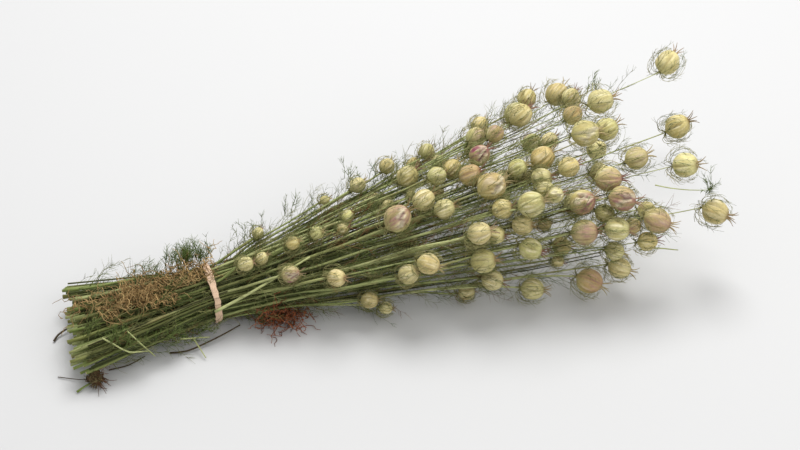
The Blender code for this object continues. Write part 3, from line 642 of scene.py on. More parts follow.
def srgb(*levels):
    """Linear colour from levels of 0 to 255."""
    c = np.array(levels) / 255
    return np.where(c <= 0.04045, c / 12.92, ((c + 0.055) / 1.055) ** 2.4)


# Colours of the dried plant
STEM_GREEN = srgb(112, 128, 62)
STEM_PALE = srgb(178, 182, 126)
STEM_BROWN = srgb(112, 92, 54)
CUT_PITH = srgb(190, 184, 136)
LEAF_GREEN = srgb(84, 104, 46)
LEAF_OLIVE = srgb(112, 116, 68)
LEAF_STRAW = srgb(166, 158, 108)
LEAF_BROWN = srgb(122, 84, 50)
POD_STRAW = srgb(224, 212, 156)
POD_GREEN = srgb(196, 196, 128)
POD_GOLD = srgb(202, 176, 108)
POD_VEIN = srgb(150, 124, 66)
POD_SEAM = srgb(104, 72, 42)
POD_PURPLE = srgb(140, 64, 92)
POD_PALE = srgb(240, 230, 194)
HORN = srgb(136, 112, 70)
PAPER = srgb(212, 182, 154)
TWIG_DARK = 0.35 * STEM_BROWN
CURLS_DRY = (srgb(198, 166, 112), srgb(128, 100, 60))
CURLS_RED = (srgb(150, 86, 50), srgb(112, 66, 42))

# Materials of a plant, in the order of its slots
STEM, POD, THREAD = 0, 1, 2

# Fine stems: how far they wander, and their knots
STEM_STEP = 0.009
STEM_FINE_SIDES = 7
STEM_WANDER = 0.00055
KNOT_SHARE = 0.10
KNOT_SWELL = 1.22
POD_END_THICKNESS = 0.66
PITH_SHARE = 0.82

# Fine pods
POD_AROUND = 50
POD_LENGTHEN = 1.07
DENTS = 7
DENT_DEPTH = 0.020
STREAKS = 9
SEAM_DEPTH = 0.15
HORN_POINTS = 7

# Fine threads: leaves along the stems, and the cage of bracts round a pod
FINE_THREAD = 0.00022
SIDE_SPREAD = 0.9
LEAF_SPACING = 0.0088
LEAF_REACH = (0.014, 0.036)
LEAF_TWIGS = 6
CAGE_THREADS = 14
CAGE_POINTS = 9
CAGE_TWIGS = 8
CAGE_GAP = (0.16, 0.62)
FLOOR_GAP = 0.0004

# The paper band of the tie
BAND_AROUND = 160
BAND_WAVES = (3, 5, 8, 13, 21)

# Pods by their number in PODS
BURST = {15: 0.6, 25: 0.25, 29: 0.22, 32: 0.34, 33: 0.26, 67: 0.3, 75: 0.4, 10: 0.2}
BLUSH = {15: 1.0, 53: 0.7, 58: 0.6, 31: 0.8, 60: 0.6, 24: 0.35, 9: 0.35, 14: 0.45, 21: 0.3, 13: 0.5,
         33: 0.8, 67: 0.75, 75: 0.8, 32: 0.85, 25: 0.25}


class Skin:
    """The points and faces of a piece while it is made, with a colour at each point."""

    def __init__(self):
        self.points, self.tints, self.faces, self.slots = [], [], [], []
        self.count = 0

    def number(self, points):
        """The numbers that a new array of points gets."""
        return self.count + np.arange(points[..., 0].size).reshape(points.shape[:-1])

    def add_walls(self, points, tints, slot, low, high, ends=()):
        """Quads between the rows of point numbers low and high, and end faces."""
        quads = np.stack([low, np.roll(low, -1, 2), np.roll(high, -1, 2), high], -1)
        faces = quads.reshape(-1, 4).tolist() + list(ends)
        self.faces += faces
        self.slots += [slot] * len(faces)
        self.points.append(points.reshape(-1, 3))
        self.tints.append(np.broadcast_to(tints, points.shape).reshape(-1, 3))
        self.count += points[..., 0].size

    def add_grid(self, points, tints, slot):
        """Rows of closed rings with end faces: points are an array of grids x rows x around x 3."""
        index = self.number(points)
        ends = index[:, 0, ::-1].tolist() + index[:, -1].tolist()
        self.add_walls(points, tints, slot, index[:, :-1], index[:, 1:], ends)

    def add_band(self, points, tints, slot):
        """A closed loop of closed rings: the last row meets the first."""
        index = self.number(points)
        self.add_walls(points, tints, slot, index, np.roll(index, -1, 1))

    def add_tubes(self, paths, radii, tints, slot, sides=3):
        """One tube along each path. Paths are tubes x points x 3, radii and tints go with them."""
        steps = np.empty_like(paths)
        steps[:, 1:-1] = paths[:, 2:] - paths[:, :-2]
        steps[:, 0] = paths[:, 1] - paths[:, 0]
        steps[:, -1] = paths[:, -1] - paths[:, -2]
        steps = normal(steps)
        chord = normal(paths[:, -1] - paths[:, 0])
        upright = np.abs(chord[:, 2:]) > 0.8
        level = np.where(upright, np.array([1.0, 0.0, 0.0]), np.array([0.0, 0.0, 1.0]))[:, None]
        u = normal(np.cross(steps, level))
        v = np.cross(steps, u)
        angles = np.arange(sides) * 2 * math.pi / sides
        wheel = (np.cos(angles)[:, None] * u[:, :, None] + np.sin(angles)[:, None] * v[:, :, None])
        points = paths[:, :, None] + np.broadcast_to(radii, paths.shape[:2])[..., None, None] * wheel
        self.add_grid(points, np.broadcast_to(tints, paths.shape)[:, :, None], slot)

    def add_threads(self, paths, thick, tints):
        """Tapered threads with three sides, a tint for each."""
        self.add_tubes(paths, taper(len(paths), paths.shape[1], thick), tints[:, None], THREAD)

    def make(self, name, materials):
        points = np.vstack(self.points)
        tints = np.vstack(self.tints)
        mesh = bpy.data.meshes.new(name)
        mesh.from_pydata(points.tolist(), [], self.faces)
        for material in materials:
            mesh.materials.append(material)
        if len(materials) > 1:
            mesh.polygons.foreach_set("material_index", self.slots)
        mesh.shade_smooth()
        color = mesh.color_attributes.new("tint", "FLOAT_COLOR", "POINT")
        color.data.foreach_set("color", np.hstack([tints, np.ones((len(tints), 1))]).ravel())
        piece = bpy.data.objects.new(name, mesh)
        bpy.context.scene.collection.objects.link(piece)
        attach(piece, "root")
        return piece


def normal(vectors):
    return vectors / np.maximum(np.linalg.norm(vectors, axis=-1, keepdims=True), 1e-12)


def mix(a, b, share):
    share = np.asarray(share)[..., None]
    return np.asarray(a) * (1 - share) + np.asarray(b) * share


def random_directions(rng, count):
    return normal(rng.normal(size=(count, 3)))


def strands(roots, aims, lengths, pull, wiggle, points, rng):
    """Paths that start at the roots along the aims, turn towards the pull and wander."""
    step = (lengths / (points - 1))[:, None]
    path = [roots]
    heading = normal(aims)
    for _ in range(points - 1):
        path.append(path[-1] + step * heading)
        heading = normal(heading + pull + wiggle * rng.normal(size=roots.shape))
    paths = np.stack(path, 1)
    paths[..., 2] = np.maximum(paths[..., 2], FLOOR_GAP)
    return paths


def offshoots(paths, each, spread, lengths, rng, first=0.15, last=0.92):
    """Roots, aims and lengths of side threads, with the number of the path that each grows from."""
    count = len(paths) * each
    parent = np.repeat(np.arange(len(paths)), each)
    share = rng.uniform(first, last, count) * (paths.shape[1] - 1)
    left = share.astype(int)
    part = (share - left)[:, None]
    start, end = paths[parent, left], paths[parent, left + 1]
    along = normal(end - start)
    side = normal(np.cross(along, random_directions(rng, count)))
    shrink = 1.0 - 0.55 * share / (paths.shape[1] - 1)
    return (start * (1 - part) + end * part, along + spread * side,
            lengths[parent] * shrink * rng.uniform(0.6, 1.2, count), parent)


def taper(count, points, radius, tip=0.35):
    return np.broadcast_to(radius * np.linspace(1.0, tip, points), (count, points))


def smooth_path(points, step):
    """Even points on a smooth curve through the given ones."""
    points = np.asarray(points)
    ends = np.vstack([2 * points[0] - points[1], points, 2 * points[-1] - points[-2]])
    made = []
    for a, b, c, d in zip(ends, ends[1:], ends[2:], ends[3:]):
        count = max(2, int(np.linalg.norm(c - b) / step))
        t = np.arange(count)[:, None] / count
        made.append(0.5 * (2 * b + (c - a) * t + (2 * a - 5 * b + 4 * c - d) * t ** 2
                           + (3 * b - a - 3 * c + d) * t ** 3))
    return np.vstack(made + [points[-1:]])


def add_stem(skin, points, shade, rng):
    """A stem with slight kinks and knots. Returns its smooth path."""
    path = smooth_path(points, STEM_STEP)
    count = len(path)
    phase = rng.uniform(0, 2 * math.pi, 4)
    along = np.cumsum(np.r_[0, np.linalg.norm(np.diff(path, axis=0), axis=1)])
    fade = np.clip(np.minimum(along, along[-1] - along) / 0.02, 0, 1)
    path[:, 1] += STEM_WANDER * fade * np.sin(along * 80 + phase[0])
    path[:, 2] += STEM_WANDER * fade * np.sin(along * 71 + phase[1])
    radius = shade[2] * stem_radius(path[:, 0]) * (1 + 0.05 * np.sin(along * 310 + phase[2]))
    radius *= np.interp(path[:, 0], (0.0, 0.30), (1.0, POD_END_THICKNESS))
    knots = rng.random(count) < KNOT_SHARE
    radius = np.where(knots, radius * KNOT_SWELL, radius)
    end = np.clip((path[:, 0] - STATIONS[0]) / 0.5, 0, 1)
    tint = mix(mix(STEM_GREEN, STEM_BROWN, shade[0]), STEM_PALE, np.clip(shade[1] + 0.75 * end, 0, 1))
    tint = mix(tint, STEM_BROWN, np.where(knots, 0.5, 0.0))
    tint = tint * (1 + 0.10 * np.sin(along * 41 + phase[3]))[:, None]
    skin.add_tubes(path[None], radius[None], tint[None], STEM, STEM_FINE_SIDES)
    return path


# Outline of a pod, from its foot to its crown: places along the axis and out from it, in radii
POD_ALONG = (-1.106, -1.05, -0.98, -0.88, -0.74, -0.56, -0.35, -0.12,
             0.12, 0.35, 0.55, 0.71, 0.82, 0.90, 0.94, 0.93)
POD_OUT = (0.09, 0.16, 0.34, 0.55, 0.74, 0.88, 0.97, 1.0,
           0.98, 0.91, 0.80, 0.66, 0.52, 0.36, 0.20, 0.03)


def add_pod(skin, pod, number, rng):
    """A papery pod: lobes between sunk seams, fine veins, dents, and in some a side that falls in."""
    along, out = np.array(POD_ALONG), np.array(POD_OUT)
    rows = len(along)
    angle = np.arange(POD_AROUND) * 2 * math.pi / POD_AROUND
    from_rib = (angle * RIBS / (2 * math.pi) + 0.5) % 1.0 - 0.5
    seam = np.exp(-((np.abs(from_rib) - 0.5) / 0.075) ** 2)
    rib = np.exp(-(from_rib / 0.045) ** 2)
    vein = np.exp(-((np.abs(from_rib) - 0.26) / 0.05) ** 2)
    body = np.sin(math.pi * np.clip((along + 1.1) / 2.05, 0, 1)) ** 0.7
    dents = np.zeros((rows, POD_AROUND))
    for _ in range(DENTS):
        waves, rise = rng.integers(1, 7), rng.uniform(1.0, 5.0)
        dents += rng.uniform(-DENT_DEPTH, DENT_DEPTH) * np.sin(
            waves * angle[None] + rise * along[:, None] + rng.uniform(0, 2 * math.pi))
    swell = 1 + body[:, None] * (dents - SEAM_DEPTH * seam + 0.022 * rib + 0.010 * vein)

    base = mix(mix(POD_STRAW, POD_GREEN, rng.uniform(0.0, 1.0)), POD_GOLD, 0.8 * rng.random() ** 3)
    base = base * rng.uniform(0.84, 1.08)
    tint = np.broadcast_to(base, (rows, POD_AROUND, 3))
    streak = np.zeros((rows, POD_AROUND))
    for waves in rng.integers(2, 22, STREAKS):
        bend = rng.uniform(0.6, 2.2) * np.sin(rng.uniform(1.5, 5) * along[:, None] + rng.uniform(0, 6))
        streak += np.sin(waves * angle[None] + rng.uniform(0, 2 * math.pi) + bend)
    streak = np.clip(streak / 4.0, -1, 1) * body[:, None]
    tint = mix(tint, POD_GOLD * 0.85, 0.45 * np.clip(streak, 0, 1))
    tint = mix(tint, POD_PALE, 0.75 * np.clip(-streak, 0, 1))
    tint = mix(tint, POD_GREEN * 0.8, 0.55 * np.clip(-along - 0.35, 0, 1)[:, None] + 0 * seam)
    tint = mix(tint, POD_VEIN, 0.32 * np.maximum(rib, 0.6 * vein) * body[:, None])
    tint = mix(tint, POD_SEAM, 0.34 * seam * body[:, None])
    tint = mix(tint, POD_SEAM, 0.7 * np.clip((along[:, None] - 0.78) * 5, 0, 1) + 0 * seam)
    blush = BLUSH.get(number, 0.12 * rng.random() ** 3)
    facing = view_angle(pod)
    near = 0.5 + 0.5 * np.cos(angle - facing + rng.uniform(-0.9, 0.9))
    cover = np.clip(1.5 * near[None] + 0.5 * along[:, None] - 0.45 + 6 * dents, 0, 1)
    patch = np.clip(0.75 - 0.6 * streak, 0.25, 1)
    tint = mix(tint, POD_PURPLE, np.clip(blush * cover * patch * (1 - 0.35 * rib), 0, 1))
    if number in BURST:
        width = BURST[number]
        lean = 0.5 * np.sin(2.4 * along + rng.uniform(0, 6))
        lean = lean + 0.12 * np.sin(9 * along + rng.uniform(0, 6))
        mouth = np.abs((angle[None] - facing - lean[:, None] + math.pi) % (2 * math.pi) - math.pi)
        tall = np.clip(1 - ((along - 0.35) / 0.72) ** 2, 0, 1) ** 0.5
        tall = tall * (1 + 0.3 * np.sin(13 * along + 1))
        inside = np.clip(1 - mouth / np.maximum(width * tall[:, None], 1e-3), 0, 1)
        lip = np.exp(-((mouth - width * tall[:, None]) / 0.11) ** 2) * (tall[:, None] > 0.2)
        fold = np.sin(11 * angle[None] + 5 * along[:, None])
        swell = swell - (0.30 + 0.05 * fold) * np.clip(inside * 1.6, 0, 1) + 0.10 * lip
        tint = mix(tint, mix(POD_PALE, POD_PURPLE, 0.25 * blush), 0.75 * lip)
        lining = mix(POD_PALE * 0.75, POD_PURPLE * 0.7, np.clip(0.45 * blush + 0.45 * fold, 0, 1))
        tint = mix(tint, lining, np.clip(inside * 1.8, 0, 1))
    radial = out[:, None] * swell
    u, v = across(pod.aim)
    turn = pod.spin + angle
    spokes = np.cos(turn)[:, None] * u + np.sin(turn)[:, None] * v
    along = POD_LENGTHEN * along
    steps = along[:, None, None] * pod.aim + radial[..., None] * spokes[None]
    points = pod.centre + pod.radius * steps
    skin.add_grid(points[None], tint[None], POD)


def view_angle(pod):
    """The angle round the pod, from its spin, that faces the camera."""
    u, v = across(pod.aim)
    sight = CAMERA_PLACE - pod.centre
    return math.atan2(sight @ v, sight @ u) - pod.spin


def add_horns(skin, pod, rng):
    """Five slender horns from the crown to the tips that the solid has, bowed and curled out."""
    share = np.linspace(0, 1, HORN_POINTS)[:, None]
    paths = []
    for k in range(RIBS):
        root = pod.at(0.84, 0.20, k * 2 * math.pi / RIBS)
        tip = pod.horn_tip(k)
        bow = pod.at(1.25, 0.16, k * 2 * math.pi / RIBS + rng.uniform(-0.3, 0.3))
        path = root * (1 - share) ** 2 + 2 * bow * share * (1 - share) + tip * share ** 2
        paths.append(path + 0.03 * pod.radius * rng.normal(size=3) * np.sin(share * math.pi))
    paths = np.array(paths)
    thick = np.linspace(0.070, 0.020, HORN_POINTS) * max(pod.radius, 0.006)
    tint = mix(mix(HORN, POD_STRAW, rng.uniform(0, 0.6)), POD_PURPLE, 0.5 * rng.random() ** 2)
    tint = tint * np.linspace(1.05, 0.70, HORN_POINTS)[:, None]
    skin.add_tubes(paths, thick, tint, POD, 5)


def add_feathers(skin, roots, aims, lengths, pull, tint, rng, each, thick=FINE_THREAD):
    """Thread leaves: a main thread each, with side threads."""
    main = strands(roots, aims, lengths, pull, 0.18, 5, rng)
    skin.add_threads(main, thick, tint)
    starts, headings, reach, parent = offshoots(main, each, SIDE_SPREAD, lengths * 0.50, rng)
    side = strands(starts, headings, reach, 0.5 * pull[parent], 0.28, 3, rng)
    skin.add_threads(side, thick * 0.8, tint[parent])


def leaf_tints(rng, count, brown=0.12):
    tint = mix(LEAF_GREEN, LEAF_OLIVE, rng.random(count))
    tint = mix(tint, LEAF_STRAW, 0.7 * rng.random(count) ** 3)
    tint = mix(tint, LEAF_BROWN, rng.random(count) < brown)
    return tint * rng.uniform(0.75, 1.15, (count, 1))


def add_leaves(skin, path, rng):
    """Thread leaves all along a stem, leaning forward and pressed towards the bunch."""
    length = np.linalg.norm(np.diff(path, axis=0), axis=1).sum()
    count = int(length / LEAF_SPACING)
    share = rng.uniform(0.02, 0.95, count) * (len(path) - 1)
    left = share.astype(int)
    roots = path[left] + (share - left)[:, None] * (path[left + 1] - path[left])
    free = np.abs(roots[:, 0]) >= 0.010
    roots = roots[free]
    along = normal(path[left + 1] - path[left])[free]
    count = len(roots)
    half_width, height = outline(roots[:, 0])
    middle = np.stack([roots[:, 0], 0 * roots[:, 0], height / 2], 1)
    out = normal(roots - middle)
    depth = np.hypot(roots[:, 1] / half_width, roots[:, 2] / (height / 2) - 1)[:, None]
    side = normal(np.cross(along, random_directions(rng, count)))
    aims = along + rng.uniform(0.3, 0.9, (count, 1)) * side + 0.25 * out * (depth > 0.7)
    pull = 0.10 * along - 0.10 * out * depth + 0.12 * random_directions(rng, count)
    lengths = rng.uniform(*LEAF_REACH, count)
    add_feathers(skin, roots, aims, lengths, pull, leaf_tints(rng, count), rng, LEAF_TWIGS)


def add_bracts(skin, pod, rng):
    """The mist round a pod: forked threads that rise from its foot and arch over it as a loose cage."""
    count = CAGE_THREADS
    share = np.linspace(0, 1, CAGE_POINTS)[None]
    angles = (np.arange(count) + rng.uniform(-0.35, 0.35, count)) * 2 * math.pi / count
    arch = rng.uniform(1.7, 2.75, (count, 1)) * share
    gap = 1 + rng.uniform(*CAGE_GAP, (count, 1)) * np.sin(math.pi * share ** 0.7) ** 0.8
    gap = gap * (1 + 0.04 * np.sin(9 * share + rng.uniform(0, 6, (count, 1)))) + 0.10 * share
    turn = angles[:, None] + rng.uniform(-0.9, 0.9, (count, 1)) * share ** 1.3
    lift = -POD_LENGTHEN * 1.1 * gap * np.cos(0.08 + arch)
    out = gap * np.sin(0.08 + arch)
    u, v = across(pod.aim)
    spin = pod.spin + turn
    spokes = np.cos(spin)[..., None] * u + np.sin(spin)[..., None] * v
    main = pod.centre + pod.radius * (lift[..., None] * pod.aim + out[..., None] * spokes)
    main[..., 2] = np.maximum(main[..., 2], FLOOR_GAP)
    tint = mix(LEAF_OLIVE, LEAF_STRAW, rng.random(count)) * rng.uniform(0.8, 1.15, (count, 1))
    skin.add_threads(main, FINE_THREAD * 1.25, tint)
    lengths = np.full(count, 0.95 * pod.radius)
    starts, headings, reach, parent = offshoots(main, CAGE_TWIGS, SIDE_SPREAD, lengths, rng, 0.22, 0.97)
    inward = normal(pod.centre - starts)
    side = strands(starts, headings, reach, 0.30 * inward, 0.18, 4, rng)
    skin.add_threads(side, FINE_THREAD * 0.9, tint[parent])


def threads_of_solid(skin, threads, rng):
    """Feathery forms of the threads that the solid has."""
    for points in threads:
        path = smooth_path(points, 0.006)[None]
        tint = leaf_tints(rng, 1, 0.0)
        skin.add_threads(path, 0.0003, tint)
        length = np.array([np.linalg.norm(points[-1] - points[0])])
        starts, headings, reach, parent = offshoots(path, 7, SIDE_SPREAD, length * 0.4, rng)
        side = strands(starts, headings, reach, np.zeros((1, 3)), 0.2, 4, rng)
        skin.add_threads(side, FINE_THREAD * 0.9, tint[parent])


def add_cut_end(skin, path, thick, rng):
    """The pale pith of a cut stem, a short disc that stands in its end."""
    direction = normal(path[0] - path[1])
    radius = thick * stem_radius(path[0, 0])
    ends = np.array([path[0] - 0.001 * direction, path[0] + 0.0002 * direction])
    tint = CUT_PITH * rng.uniform(0.6, 1.0)
    skin.add_tubes(ends[None], np.array([[PITH_SHARE * radius] * 2]), tint, STEM, STEM_FINE_SIDES)


def make_plants(materials):
    bunch = Bunch()
    bunch.settle()
    for number, (stems, pods, leaves) in enumerate(plan_plants(bunch)):
        rng = np.random.default_rng(1000 + number)
        skin = Skin()
        shade = (0.5 * rng.random() ** 2, 0.7 * rng.random() ** 2, rng.uniform(0.55, 1.0))
        for k, (stem, pod) in enumerate(zip(stems, pods)):
            path = add_stem(skin, stem, shade, rng)
            if k == 0:
                add_cut_end(skin, path, shade[2], rng)
            add_leaves(skin, path, rng)
            add_pod(skin, pod, pod_number(bunch, pod), rng)
            add_horns(skin, pod, rng)
            add_bracts(skin, pod, rng)
            bracts = [np.array([pod.at(-0.65, 0.75, (side + 0.5) * math.pi / RIBS), *ends])
                      for side, ends in pod.bracts.items()]
            threads_of_solid(skin, bracts, rng)
        roots = [stems[0][segment] * (1 - THREAD_ROOT) + stems[0][segment + 1] * THREAD_ROOT
                 for segment, _ in leaves]
        threads = [np.array([root, *ends]) for root, ends in zip(roots, leaves.values())]
        threads_of_solid(skin, threads, rng)
        name = f"plant_{number + 1:02d}"
        piece = skin.make(name + "_fine", materials)
        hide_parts(name)


def pod_number(bunch, pod):
    return int(np.argmin(np.linalg.norm(bunch.centres - pod.centre, axis=1)))


# Grain of the materials
GRAIN_DETAIL = 6.0
GRAIN_ROUGHNESS = 0.65
RELIEF_DEPTH = 0.0004


def shader_material(name, roughness, grain, bump, vary, stretch=(1.0, 1.0, 1.0)):
    """A material that takes its colour from the tint, varied by fine noise, with grain in relief."""
    material = bpy.data.materials.new(name)
    material.use_nodes = True
    nodes, links = material.node_tree.nodes, material.node_tree.links
    shader = nodes["Principled BSDF"]
    tint = nodes.new("ShaderNodeVertexColor")
    tint.layer_name = "tint"
    place = nodes.new("ShaderNodeTexCoord")
    scale = nodes.new("ShaderNodeMapping")
    scale.inputs["Scale"].default_value = stretch
    noise = nodes.new("ShaderNodeTexNoise")
    noise.inputs["Scale"].default_value = grain
    noise.inputs["Detail"].default_value = GRAIN_DETAIL
    noise.inputs["Roughness"].default_value = GRAIN_ROUGHNESS
    ramp = nodes.new("ShaderNodeMapRange")
    ramp.inputs["From Min"].default_value = 0.3
    ramp.inputs["From Max"].default_value = 0.7
    ramp.inputs["To Min"].default_value = 1.0 - vary
    ramp.inputs["To Max"].default_value = 1.0 + vary
    shade = nodes.new("ShaderNodeVectorMath")
    shade.operation = "SCALE"
    relief = nodes.new("ShaderNodeBump")
    relief.inputs["Strength"].default_value = bump
    relief.inputs["Distance"].default_value = RELIEF_DEPTH
    links.new(place.outputs["Object"], scale.inputs["Vector"])
    links.new(scale.outputs["Vector"], noise.inputs["Vector"])
    links.new(noise.outputs["Fac"], ramp.inputs["Value"])
    links.new(tint.outputs["Color"], shade.inputs[0])
    links.new(ramp.outputs["Result"], shade.inputs["Scale"])
    links.new(shade.outputs["Vector"], shader.inputs["Base Color"])
    links.new(noise.outputs["Fac"], relief.inputs["Height"])
    links.new(relief.outputs["Normal"], shader.inputs["Normal"])
    shader.inputs["Roughness"].default_value = roughness
    shader.inputs["Specular IOR Level"].default_value = 0.3
    shader.inputs["Sheen Weight"].default_value = 0.0
    return material


def make_tie_band(material):
    """The tie as a crumpled paper band that lies flat round the stems."""
    skin = Skin()
    rng = np.random.default_rng(7)
    a = np.linspace(0, 2 * math.pi, BAND_AROUND, endpoint=False) - math.pi / 2
    half_width, height = outline(0.0)
    corner = np.array(tie_outline(0.0))
    rim = np.array([np.interp(a, np.linspace(-math.pi / 2, 1.5 * math.pi, TIE_SIDES + 1),
                              np.r_[(corner[:, k] + np.roll(corner[:, k], 1)) / 2,
                                    (corner[0, k] + corner[-1, k]) / 2]) for k in range(2)]).T
    middle = np.array([0.0, height / 2])
    inward = normal(middle - rim)
    wave = sum(rng.uniform(0.2, 1.0) * np.sin(k * a + rng.uniform(0, 6.3)) for k in BAND_WAVES) / 2.5
    width = TIE_WIDTH / 2 * (0.86 + 0.10 * np.sin(4 * a + 1.0) + 0.04 * np.sin(17 * a))
    rows = []
    for side, inset, crumple in ((1, 0.00015, 1), (-1, TIE_THICKNESS - 0.0002, 0)):
        for w in np.linspace(-1, 1, 9) * side:
            fold = 0.00018 * (1 + np.sin(9 * a + 7 * w)) + 0.0002 * (1 + wave) + 0.00025 * w * w
            flat = rim + inward * (inset + crumple * fold)[:, None]
            rows.append(np.column_stack([width * w + 0.0006 * wave, flat]))
    ring = np.array(rows).transpose(1, 0, 2)
    shade = 1 + 0.14 * np.sin(23 * a)[:, None] * np.sin(3 * np.arange(ring.shape[1]))[None]
    shade = shade * (1 - 0.45 * (rng.random(BAND_AROUND) < 0.07))[:, None]
    tint = PAPER * shade[..., None]
    skin.add_band(ring[None], tint[None], STEM)
    piece = skin.make("tie_band", [material])
    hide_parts("tie")


# Curls: pixel, half width and half height of the spot in pixels, and how many
CURLS_ON_TOP = (
    (80, 306, 12, 8, 14), (108, 308, 14, 12, 40), (128, 298, 16, 9, 60), (146, 292, 16, 10, 60),
    (170, 278, 18, 9, 44), (196, 270, 12, 10, 60), (164, 298, 14, 7, 24),
)
CURLS_BELOW = ((284, 316, 24, 6, 90),)

# Tufts: pixel, half width of the spot in pixels, and how many feathers
TUFTS = (
    (184, 264, 4, 26), (194, 264, 8, 26), (174, 270, 10, 16), (206, 260, 8, 14), (150, 282, 14, 12),
    (130, 345, 26, 16), (175, 342, 22, 16), (205, 332, 12, 10), (95, 338, 14, 8),
    (250, 240, 14, 8), (300, 215, 18, 8), (360, 180, 20, 8), (592, 95, 5, 7), (707, 192, 3, 9),
)

# Twigs on the table and stalks on the bunch: the pixels they pass, and their radius
TWIGS = (
    ("twig_long", ((170, 353), (187, 351), (206, 343), (224, 334), (240, 325)), 0.0008, TWIG_DARK),
    ("twig_cut_end", ((54, 341), (58, 335), (65, 330), (71, 326)), 0.0010, TWIG_DARK),
    ("twig_thin_a", ((58, 377), (74, 379), (88, 380)), 0.0004, TWIG_DARK),
    ("twig_thin_b", ((77, 392), (84, 387), (91, 383)), 0.0010, STEM_GREEN),
    ("twig_low", ((109, 370), (129, 365), (145, 356)), 0.0006, TWIG_DARK),
)
ON_TOP_STALKS = (
    ("stalk_a", ((127, 331), (140, 343), (155, 356)), 0.0007),
    ("stalk_b", ((193, 338), (199, 347), (206, 358)), 0.0007),
    ("stalk_c", ((180, 339), (195, 338), (210, 337)), 0.0007),
    ("stalk_d", ((102, 338), (115, 345), (129, 352), (148, 351)), 0.0008),
    ("stalk_e", ((655, 185), (670, 188), (690, 190), (710, 190)), 0.0005),
    ("stalk_f", ((640, 250), (655, 248), (678, 250)), 0.0007),
    ("stalk_g", ((215, 312), (250, 293), (280, 275), (310, 257)), 0.0013),
    ("stalk_h", ((590, 108), (592, 95), (593, 82)), 0.0004),
)
ROOT_BALL_PIXEL = (95, 378)
ROOT_THREADS = 110
ROOT_STRANDS = 16
CURL_THREAD = 0.00042
CURL_LENGTH = (0.010, 0.034)
CURL_WIDTH = (0.0010, 0.0042)

# Stalks without pods, and where along X they end
FILL_STALKS = 100
FILL_END = (0.10, 0.38)
FILL_INSET = 0.0030

# Floor and light: places, targets, sizes and powers
FLOOR_REACH = 12.0
FLOOR_GREY = 0.58
SKY_LIGHT = 0.62
LIGHTS = (
    ("key", (0.55, 0.75, 1.9), (0.2, 0, 0), 1.3, 40),
    ("fill", (0.9, -1.2, 1.3), (0.15, 0, 0), 1.4, 8),
)


def table_place(px, py, height):
    """The point seen at a pixel at a height above the table."""
    ray = sight_ray(px, py)
    return CAMERA_PLACE + ray * (height - CAMERA_PLACE[2]) / ray[2]


def curls(roots, aims, lengths, rng, points=14):
    """Curly dried threads: loose helices of changing width round a wandering line."""
    count = len(roots)
    t = np.linspace(0, 1, points)[None, :, None]
    line = strands(roots, aims, lengths, 0.10 * random_directions(rng, count), 0.25, points, rng)
    u = normal(np.cross(aims, random_directions(rng, count)))[:, None]
    v = np.cross(aims, u[:, 0])[:, None]
    turns = rng.uniform(1.0, 3.2, (count, 1, 1)) * 2 * math.pi
    wide = rng.uniform(*CURL_WIDTH, (count, 1, 1)) * np.sin(math.pi * np.clip(t * 1.2, 0, 1)) ** 0.5
    paths = line + wide * (np.cos(turns * t) * u + np.sin(turns * t) * v)
    paths[..., 2] = np.maximum(paths[..., 2], FLOOR_GAP)
    return paths


def make_curls(name, spots, tints, material, level, rng):
    """Curls strewn over spots of the bunch. Level is how far they lie along it, not astray."""
    skin = Skin()
    for px, py, wide, tall, count in spots:
        roots = []
        for _ in range(count):
            a, r = rng.uniform(0, 2 * math.pi), math.sqrt(rng.random())
            roots.append(pod_place(px + wide * r * math.cos(a), py + tall * r * math.sin(a),
                                   rng.uniform(-0.004, 0.004)))
        roots = np.array(roots)
        roots[:, 2] = np.maximum(roots[:, 2], 0.002)
        aims = normal(np.array([level, 0.0, 0.0]) * rng.choice([-1, 1], (count, 1))
                      + 0.8 * random_directions(rng, count))
        paths = curls(roots, aims, rng.uniform(*CURL_LENGTH, count), rng)
        tint = mix(tints[0], tints[1], rng.random(count)) * rng.uniform(0.7, 1.15, (count, 1))
        skin.add_tubes(paths, taper(count, paths.shape[1], CURL_THREAD, 0.5), tint[:, None], 0)
    piece = skin.make(name, [material])


def make_tufts(material, rng):
    """Feathery leaves that stand off the bunch."""
    skin = Skin()
    for px, py, wide, count in TUFTS:
        roots = np.array([pod_place(px + rng.uniform(-wide, wide), py + rng.uniform(-3, 3), 0.002)
                          for _ in range(count)])
        _, height = outline(roots[:, 0])
        out = normal(np.column_stack([0 * roots[:, 0], roots[:, 1], roots[:, 2] - height / 2]))
        aims = 0.9 * VIEW_UP + 0.5 * out + 0.5 * random_directions(rng, count)
        lengths = rng.uniform(0.010, 0.022, count)
        tint = mix(LEAF_GREEN, LEAF_OLIVE, 0.5 * rng.random(count)) * 1.1
        add_feathers(skin, roots, aims, lengths, 0.15 * random_directions(rng, count), tint, rng, 8,
                     1.3 * FINE_THREAD)
    piece = skin.make("feather_tufts", [material])


def make_twigs(material, rng):
    """Loose twigs on the table under the bunch, and stalks that cross over it."""
    def add_twig(name, points, radius, tip, tint):
        path = smooth_path(points, 0.005)
        path[:, 2] = np.maximum(path[:, 2], radius + 0.0003)
        skin = Skin()
        skin.add_tubes(path[None], taper(1, len(path), radius, tip), tint[None, None], STEM, 6)
        skin.make(name, [material])

    for name, pixels, radius, tint in TWIGS:
        points = [table_place(px, py, radius + 0.0006 + 0.001 * k) for k, (px, py) in enumerate(pixels)]
        add_twig(name, points, radius, 0.7, tint)
    for name, pixels, radius in ON_TOP_STALKS:
        points = [pod_place(px, py, -0.001) for px, py in pixels]
        add_twig(name, points, radius, 0.6, mix(STEM_PALE, STEM_GREEN, rng.uniform(0, 0.5)))


